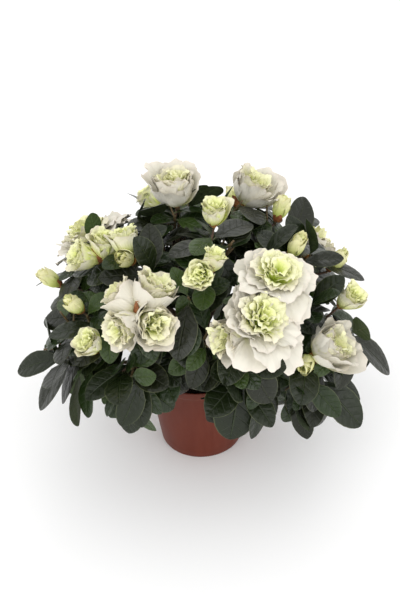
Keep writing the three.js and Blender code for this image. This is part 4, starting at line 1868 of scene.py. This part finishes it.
# count, length, width, first, last, flare, frill, waves, finish, rise, cup, claw and turn
WHORLS: dict[Bloom, tuple[Whorl, ...]] = {
    Bloom.OPEN: (
        Whorl(5, 41, 37, 64, 88, 26, 1.8, 9, 0, 0.0, 0.10, lopsided=0.24),
        Whorl(5, 39, 34, 52, 76, 24, 2.0, 9, 0, 1.5, 0.12, turn=36, lopsided=0.2),
        Whorl(5, 34, 29, 46, 64, 34, 2.1, 9, 0, 3.0, 0.14, turn=12, lopsided=0.14, loose=0.3),
        Whorl(7, 31, 23, 38, 54, 56, 2.1, 9, 1, 4.5, 0.14, turn=20, loose=0.5),
        Whorl(7, 30, 20, 28, 38, 60, 2.1, 9, 2, 6.0, 0.14, turn=5, loose=0.7),
        Whorl(7, 29, 18, 16, 24, 66, 2.1, 9, 2, 7.0, 0.16, turn=28, loose=0.8),
        Whorl(5, 27, 15, 4, 8, 66, 2.0, 8, 3, 7.5, 0.18, turn=50, loose=0.8),
    ),
    Bloom.CUP: (
        Whorl(5, 37, 33, 70, 20, 20, 1.5, 8, 0, 0.0, 0.20, lopsided=0.2),
        Whorl(5, 36, 30, 56, 14, 18, 1.8, 9, 0, 1.5, 0.22, turn=36, lopsided=0.14),
        Whorl(5, 32, 25, 42, 12, 30, 1.9, 9, 1, 3.0, 0.22, turn=10, loose=0.3),
        Whorl(6, 30, 19, 28, 10, 50, 2.0, 9, 2, 4.0, 0.20, turn=25, loose=0.6),
        Whorl(5, 28, 16, 10, 4, 56, 2.0, 9, 2, 5.0, 0.20, turn=45, loose=0.8),
    ),
    Bloom.HALF: (
        Whorl(5, 32, 24, 54, 8, 26, 1.2, 7, 0, 0.0, 0.24, 0.42, lopsided=0.1),
        Whorl(5, 32, 22, 42, 6, 36, 1.5, 8, 1, 1.2, 0.24, 0.42, 30, loose=0.2),
        Whorl(6, 31, 18, 30, 10, 48, 1.7, 8, 1, 2.5, 0.22, 0.42, 12, loose=0.4),
        Whorl(6, 30, 16, 16, 8, 54, 1.8, 8, 2, 3.5, 0.20, 0.42, 40, loose=0.6),
        Whorl(4, 28, 13, 2, 2, 52, 1.8, 8, 2, 4.0, 0.22, 0.42, 5, loose=0.8),
    ),
    Bloom.BUD: (
        Whorl(5, 23, 14, 42, -12, -6, 0.3, 6, 4, 0.0, 0.30, 0.42),
        Whorl(4, 23, 12, 26, -8, 0, 0.6, 6, 4, 1.0, 0.32, 0.42, 30),
        Whorl(4, 21, 9, 10, -4, 8, 1.0, 7, 3, 2.0, 0.34, 0.42, 12),
    ),
}


@dataclass(frozen=True)
class Stance:
    """Where blades stand round their blooms: (N, 3) bases, blooms' axes, and ways out from them."""

    base: Array
    axis: Array
    radial: Array

    def place(self, up: Array, out: Array, sideways: Array) -> Array:
        """Points that lie (N, V) distances up the axis, out from it and sideways round it.

        Args:
            up: along the axis.
            out: away from it.
            sideways: square to both.

        Returns:
            (N, V, 3) points.
        """
        aside = np.cross(self.axis, self.radial)[:, None] * sideways[..., None]
        middle = self.base[:, None] + self.axis[:, None] * up[..., None]
        return middle + self.radial[:, None] * out[..., None] + aside

    def facing(self, angle: Array) -> Array:
        """The way that the inner side of a blade looks, whose middle line is at an angle."""
        inwards = self.radial[:, None] * np.cos(angle)[..., None]
        return self.axis[:, None] * np.sin(angle)[..., None] - inwards


@dataclass
class Blooms:
    """Double blooms: whorls of ruffled petals that get smaller and greener towards the heart."""

    growth: Growth
    coarse: Shell = Shell(10, 9)
    fine: Shell = Shell(13, 21)
    frilly: float = 1.5
    steps: int = 60
    turned_at: float = 0.7
    flared_from: float = 0.6
    rounding: float = 0.28
    notching: float = 0.025
    widest: float = 0.72
    thickness: float = 0.4
    together: int = 8
    foot_radius: float = 1.3
    scale_shell: Shell = Shell(7, 5)
    scale_thickness: float = 0.25
    scales_each: int = 5

    # the claw and the tip of each finish, where between them its colour turns, and its blush
    creams: tuple[PetalFinish, ...] = (
        PetalFinish("petal_white", (0.72, 0.73, 0.34), (0.775, 0.745, 0.65), 0.0, 0.55, 0.10),
        PetalFinish("petal_cream", (0.74, 0.78, 0.26), (0.83, 0.80, 0.62), 0.2, 0.85, 0.08),
        PetalFinish("petal_green", (0.74, 0.83, 0.20), (0.87, 0.86, 0.57), 0.35, 0.92),
        PetalFinish("petal_heart", (0.72, 0.83, 0.17), (0.87, 0.88, 0.50), 0.35, 0.95),
        PetalFinish("petal_bud", (0.60, 0.68, 0.15), (0.83, 0.80, 0.46), 0.1, 0.95),
    )

    def build(self) -> None:
        """Every petal in pieces by kind of bloom, and the scales at their feet."""
        finishes = [cream.make() for cream in self.creams]
        for kind in Bloom:
            flowers = [flower for flower in self.growth.flowers if flower.kind is kind]
            for start in range(0, len(flowers), self.together):
                patch = Patchwork(f"petals_{kind.name.lower()}_{start // self.together + 1}")
                for number, whorl in enumerate(WHORLS[kind]):
                    self.petals(patch, flowers[start : start + self.together], whorl, number)
                patch.build(finishes, "foliage", [])
        self.scales()

    def petals(self, patch: Patchwork, flowers: list[Flower], whorl: Whorl, number: int) -> None:
        """One whorl of all the blooms of a kind.

        The middle line is the running sum of the sine and cosine of its angle off the axis. The
        width grows from the claw as a sine, the end is rounded by drawing its corners back, and
        the edge is ruffled by waves that run round it and fade towards the middle.

        Args:
            patch: the mesh that they go into.
            flowers: the blooms.
            whorl: the ring of petals.
            number: its place in the bloom, which seeds its random numbers.
        """
        shell = self.fine if whorl.frill > self.frilly else self.coarse
        rng = np.random.default_rng(97 * number + len(flowers))
        count, loose, steps = len(flowers) * whorl.count, whorl.loose, self.steps

        def spread(low: float, high: float) -> Array:
            """A number for each petal, from low to high."""
            return rng.uniform(low, high, (count, 1))

        size = np.repeat([flower.size * flower.vigour for flower in flowers], whorl.count)[:, None]
        stance, favour = self.stance(flowers, whorl, rng)
        along, across = shell.grid()
        length = whorl.length * size * spread(0.92 - 0.14 * loose, 1.06) * (1 + favour)
        width = whorl.width * size * spread(0.9, 1.14)

        # the middle line, and where on it each row of the petal lies
        share = np.linspace(0, 1, steps + 1)
        tilted = spread(-4 - 10 * loose, 4 + 10 * loose)
        first, last = whorl.first + tilted, whorl.last + tilted + spread(-7, 7) + 60 * favour
        turned = np.minimum(1, share / self.turned_at)
        flared = np.clip((share - self.flared_from) / (1 - self.flared_from), 0, 1) ** 1.5
        turning = (last - first) * turned**2 * (3 - 2 * turned)
        angles = np.radians(first + turning + (whorl.flare + spread(-14, 14)) * flared)
        reaches = np.cumsum(np.sin(angles), 1) / steps * length
        rises = np.cumsum(np.cos(angles), 1) / steps * length
        phase, beat = spread(0, FULL_TURN), spread(0.9, 1.15)
        notch = np.sin(6 * across + phase) + 0.6 * np.sin(13 * across + 2 * phase)
        rounded = 1 - self.rounding * across**2 * along**2
        run = along * (rounded + self.notching * (notch - 1.4) * along**5)
        low = np.clip((run * steps).astype(int), 0, steps - 1)
        part = run * steps - low
        row = np.arange(count)[:, None]
        angle, reach, rise = (
            line[row, low] * (1 - part) + line[row, low + 1] * part for line in (angles, reaches, rises)
        )

        # the width, and how deep the petal cups, ruffles and twists
        widening = (1 - whorl.claw) * np.sin(np.pi / 2 * np.minimum(1, along / self.widest))
        sideways = across * (width / 2 * (whorl.claw + widening))
        edge = np.arctan2(run - 0.4, across * 0.6)
        fade = np.maximum(along**2.5, (np.abs(across) * along**0.6) ** 3)
        frill = np.sin(whorl.waves * beat * edge + phase)
        frill = frill + 0.45 * np.sin(1.7 * whorl.waves * edge + 2 * phase)
        crumple = np.sin(8 * along + 6 * across + phase) * along
        crumple = crumple + 0.6 * np.sin(13 * across - 5 * along + 2 * phase)
        depth = 2 * whorl.cup * sideways**2 / (width / 2)
        depth = depth + whorl.frill * size * (0.62 * fade * frill + 0.14 * crumple * along)
        twist = spread(-0.2 - 0.25 * loose, 0.2 + 0.25 * loose)
        depth = depth + twist * sideways * along + 0.10 * sideways

        out = reach + self.foot_radius * size - depth * np.cos(angle)
        up = rise + whorl.rise * size + depth * np.sin(angle)
        inner = stance.place(up, out, sideways)
        thick = self.thickness * (1 - 0.45 * fade) * size * (1 - across**8)
        outer = inner - stance.facing(angle) * thick[..., None]
        last_finish = len(self.creams) - 1
        finish = [min(last_finish, whorl.finish + (flower.vigour < 1)) for flower in flowers]
        greener = np.repeat(finish, whorl.count)
        points, quads, uv, margin = shell.join(outer, inner, tile_of(greener))
        patch.add(points, quads, uv, np.repeat(greener, len(quads) // count), margin)

    def stance(
        self, flowers: list[Flower], whorl: Whorl, rng: np.random.Generator
    ) -> tuple[Stance, Array]:
        """Where a whorl's petals stand: evenly round each bloom, and somewhat astray.

        Args:
            flowers: the blooms.
            whorl: the ring of petals.
            rng: where the random numbers come from.

        Returns:
            Their stance, and how much longer each is for the room on its side of the bloom.
        """
        count, loose = len(flowers) * whorl.count, whorl.loose
        level = np.full(count, 90.0)
        axis = np.repeat(gathered(flowers, "axis"), whorl.count, 0)
        base = np.repeat(gathered(flowers, "base"), whorl.count, 0)
        room = np.repeat([self.roomiest(flower) for flower in flowers], whorl.count, 0)
        own = np.repeat(rng.uniform(0, 360, len(flowers)), whorl.count)
        even = np.tile(np.arange(whorl.count) * 360 / whorl.count, len(flowers))
        aside = leaning(axis, level, rng.uniform(0, 360, count))
        base = base + aside * rng.uniform(0, 2.2 * loose, (count, 1))
        astray = rng.uniform(-8 - 14 * loose, 8 + 14 * loose, count)
        radial = leaning(axis, level, own + whorl.turn + even + astray)
        favour = np.einsum("nk,nk->n", radial, room)[:, None] * whorl.lopsided
        return Stance(base, axis, radial), favour

    def roomiest(self, flower: Flower) -> Array:
        """Where a bloom has most room: out from the crown, and away from its neighbour.

        Args:
            flower: the bloom.

        Returns:
            That direction, square to its axis.
        """
        others = [other for other in self.growth.flowers if other is not flower]
        offsets = flower.base - gathered(others, "base")
        nearest = offsets[np.argmin(np.linalg.norm(offsets, axis=1))]
        outward = unit((flower.base - self.growth.crown) * [1, 1, 0])
        way = unit(outward + unit(nearest))
        return unit(way - flower.axis * (way @ flower.axis))

    def scales(self) -> None:
        """Papery brown scales round the foot of each unopened bloom and the head of each cluster."""
        shell, each = self.scale_shell, self.scales_each
        growth, rng = self.growth, np.random.default_rng(21)
        unopened = [flower for flower in growth.flowers if flower.kind is not Bloom.OPEN]
        feet = [(flower.base, flower.axis, 1.0) for flower in unopened]
        heads = [head for mass in growth.masses for head in mass.heads if len(head.blooms) > 1]
        for head in heads:
            feet.append((head.point + head.axis * 3, head.axis, 0.8 + 0.22 * len(head.blooms)))
        count = len(feet) * each
        foot, axis, grown = (np.repeat(np.array(column), each, 0) for column in zip(*feet))
        turn = np.tile(np.arange(each) * 360 / each, len(feet)) + rng.uniform(-20, 20, count)
        stance = Stance(foot - axis * 2.2, axis, leaning(axis, np.full(count, 90.0), turn))
        along, across = shell.grid()
        length = rng.uniform(9, 15, (count, 1)) * grown[:, None]
        width = rng.uniform(5, 8, (count, 1))
        angle = np.radians(rng.uniform(35, 62, (count, 1)) - rng.uniform(10, 75, (count, 1)) * along)
        half = width / 2 * np.maximum(0.12, np.sin(np.pi * (0.12 + 0.86 * along) ** 0.9))
        sideways = across * half
        hollow = 0.35 * sideways**2 / (width / 2)
        reach = along * length * np.sin(angle)
        out = self.foot_radius + reach - hollow
        inner = stance.place(along * length * np.cos(angle), out, sideways)
        outer = inner - stance.facing(angle) * self.scale_thickness
        tone = rng.choice(2, count)
        points, quads, uv, margin = shell.join(outer, inner, tile_of(tone))
        patch = Patchwork("bud_scales")
        patch.add(points, quads, uv, np.repeat(tone, len(quads) // count), margin)
        finishes = [
            PlainFinish("scale_brown", (0.20, 0.065, 0.020), (0.36, 0.14, 0.045), 0.6, 350.0).make(),
            PlainFinish("scale_orange", (0.34, 0.13, 0.035), (0.46, 0.24, 0.075), 0.6, 350.0).make(),
        ]
        patch.build(finishes, "foliage", [])


@dataclass
class Studio:
    """A pale floor, soft lamps and the camera that looks down at the plant from the front."""

    target: tuple[float, float, float] = (0.0034, 0.0, 0.151)
    distance: float = 1.25
    elevation: float = 38.0
    roll: float = 2.5
    lens: float = 87.8
    floor_half: float = 9000
    floor_height: float = -0.2
    sky_strength: float = 1.03

    def build(self) -> None:
        """Makes floor, lamps, sky and camera."""
        self.floor()
        self.sky()
        self.lamp("key_lamp", (-0.6, -1.5, 1.5), 1.3, 9.5)
        self.lamp("fill_lamp", (1.3, -1.3, 0.9), 1.3, 6.0)
        self.lamp("back_lamp", (0.2, 1.5, 1.5), 1.2, 5.0)
        self.camera()

    def floor(self) -> None:
        """A wide flat floor at the pot's foot."""
        finish = Finish("studio_floor")
        finish.plain(Base_Color=(0.96, 0.96, 0.96, 1.0), Roughness=0.8)
        x, y = self.floor_half * np.array([-1, 1, 1, -1]), self.floor_half * np.array([-1, -1, 1, 1])
        corners = np.stack([x, y, np.full(4, self.floor_height)], -1)
        mesh = mesh_of("floor", corners, np.array([[0, 1, 2, 3]]))
        mesh.materials.append(finish.material)
        placed("floor", mesh)

    def sky(self) -> None:
        """An even white light from all round."""
        world = bpy.data.worlds.new("studio")
        world.use_nodes = True
        background = world.node_tree.nodes["Background"]
        background.inputs["Color"].default_value = (1.0, 1.0, 1.0, 1.0)
        background.inputs["Strength"].default_value = self.sky_strength
        bpy.context.scene.world = world
        bpy.context.scene.view_settings.view_transform = "Standard"

    def lamp(self, name: str, place: tuple[float, float, float], size: float, power: float) -> None:
        """A square soft lamp that looks at the plant.

        Args:
            name: what it is called.
            place: where it is, in metres.
            size: its side, in metres.
            power: in watts.
        """
        data = bpy.data.lights.new(name, "AREA")
        data.size, data.energy = size, power
        lamp = placed(name, data)
        lamp.matrix_world = self.looking(np.array(place), np.array(self.target), 0.0)

    @staticmethod
    def looking(place: Array, target: Array, roll: float) -> Matrix:
        """The matrix of something that looks at a target.

        Args:
            place: where it is.
            target: what it looks at.
            roll: how far it is rolled, in degrees.

        Returns:
            The matrix.
        """
        back = unit(place - target)
        right = unit(np.cross(UP, back))
        up = np.cross(back, right)
        turn = math.radians(roll)
        rolled_right = right * math.cos(turn) + up * math.sin(turn)
        rolled_up = up * math.cos(turn) - right * math.sin(turn)
        columns = np.stack([rolled_right, rolled_up, back, place], 1)
        return Matrix([*columns.tolist(), [0, 0, 0, 1]])

    def camera(self) -> None:
        """The camera, in front of the plant and above it."""
        data = bpy.data.cameras.new("camera")
        data.lens, data.sensor_width, data.sensor_fit = self.lens, 36.0, "AUTO"
        tilt = math.radians(self.elevation)
        target = np.array(self.target)
        place = target + self.distance * np.array([0, -math.cos(tilt), math.sin(tilt)])
        camera = placed("camera", data)
        camera.matrix_world = self.looking(place, target, -self.roll)
        bpy.context.scene.camera = camera


def main() -> None:
    """Builds the plant from the ground up, then the studio round it."""
    logging.basicConfig(level=logging.INFO, format="%(message)s")
    low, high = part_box("pot")
    pot = Pot(height=(high[2] - low[2]) / MM, rim=(high[0] - low[0]) / MM / 2)
    pot.build()
    soil_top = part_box("compost")[1][2] / MM
    Compost(pot, edge=soil_top - 4, crown=soil_top).build()
    growth = Growth(pot_height=pot.height, pot_rim=pot.rim, soil_crown=soil_top)
    log.info("%d leaves, %d blooms", sum(len(m.leaves) for m in growth.masses), len(growth.flowers))
    Wood(growth).build()
    Leaves(growth).build()
    Blooms(growth).build()
    Studio().build()


if __name__ == "__main__":
    main()
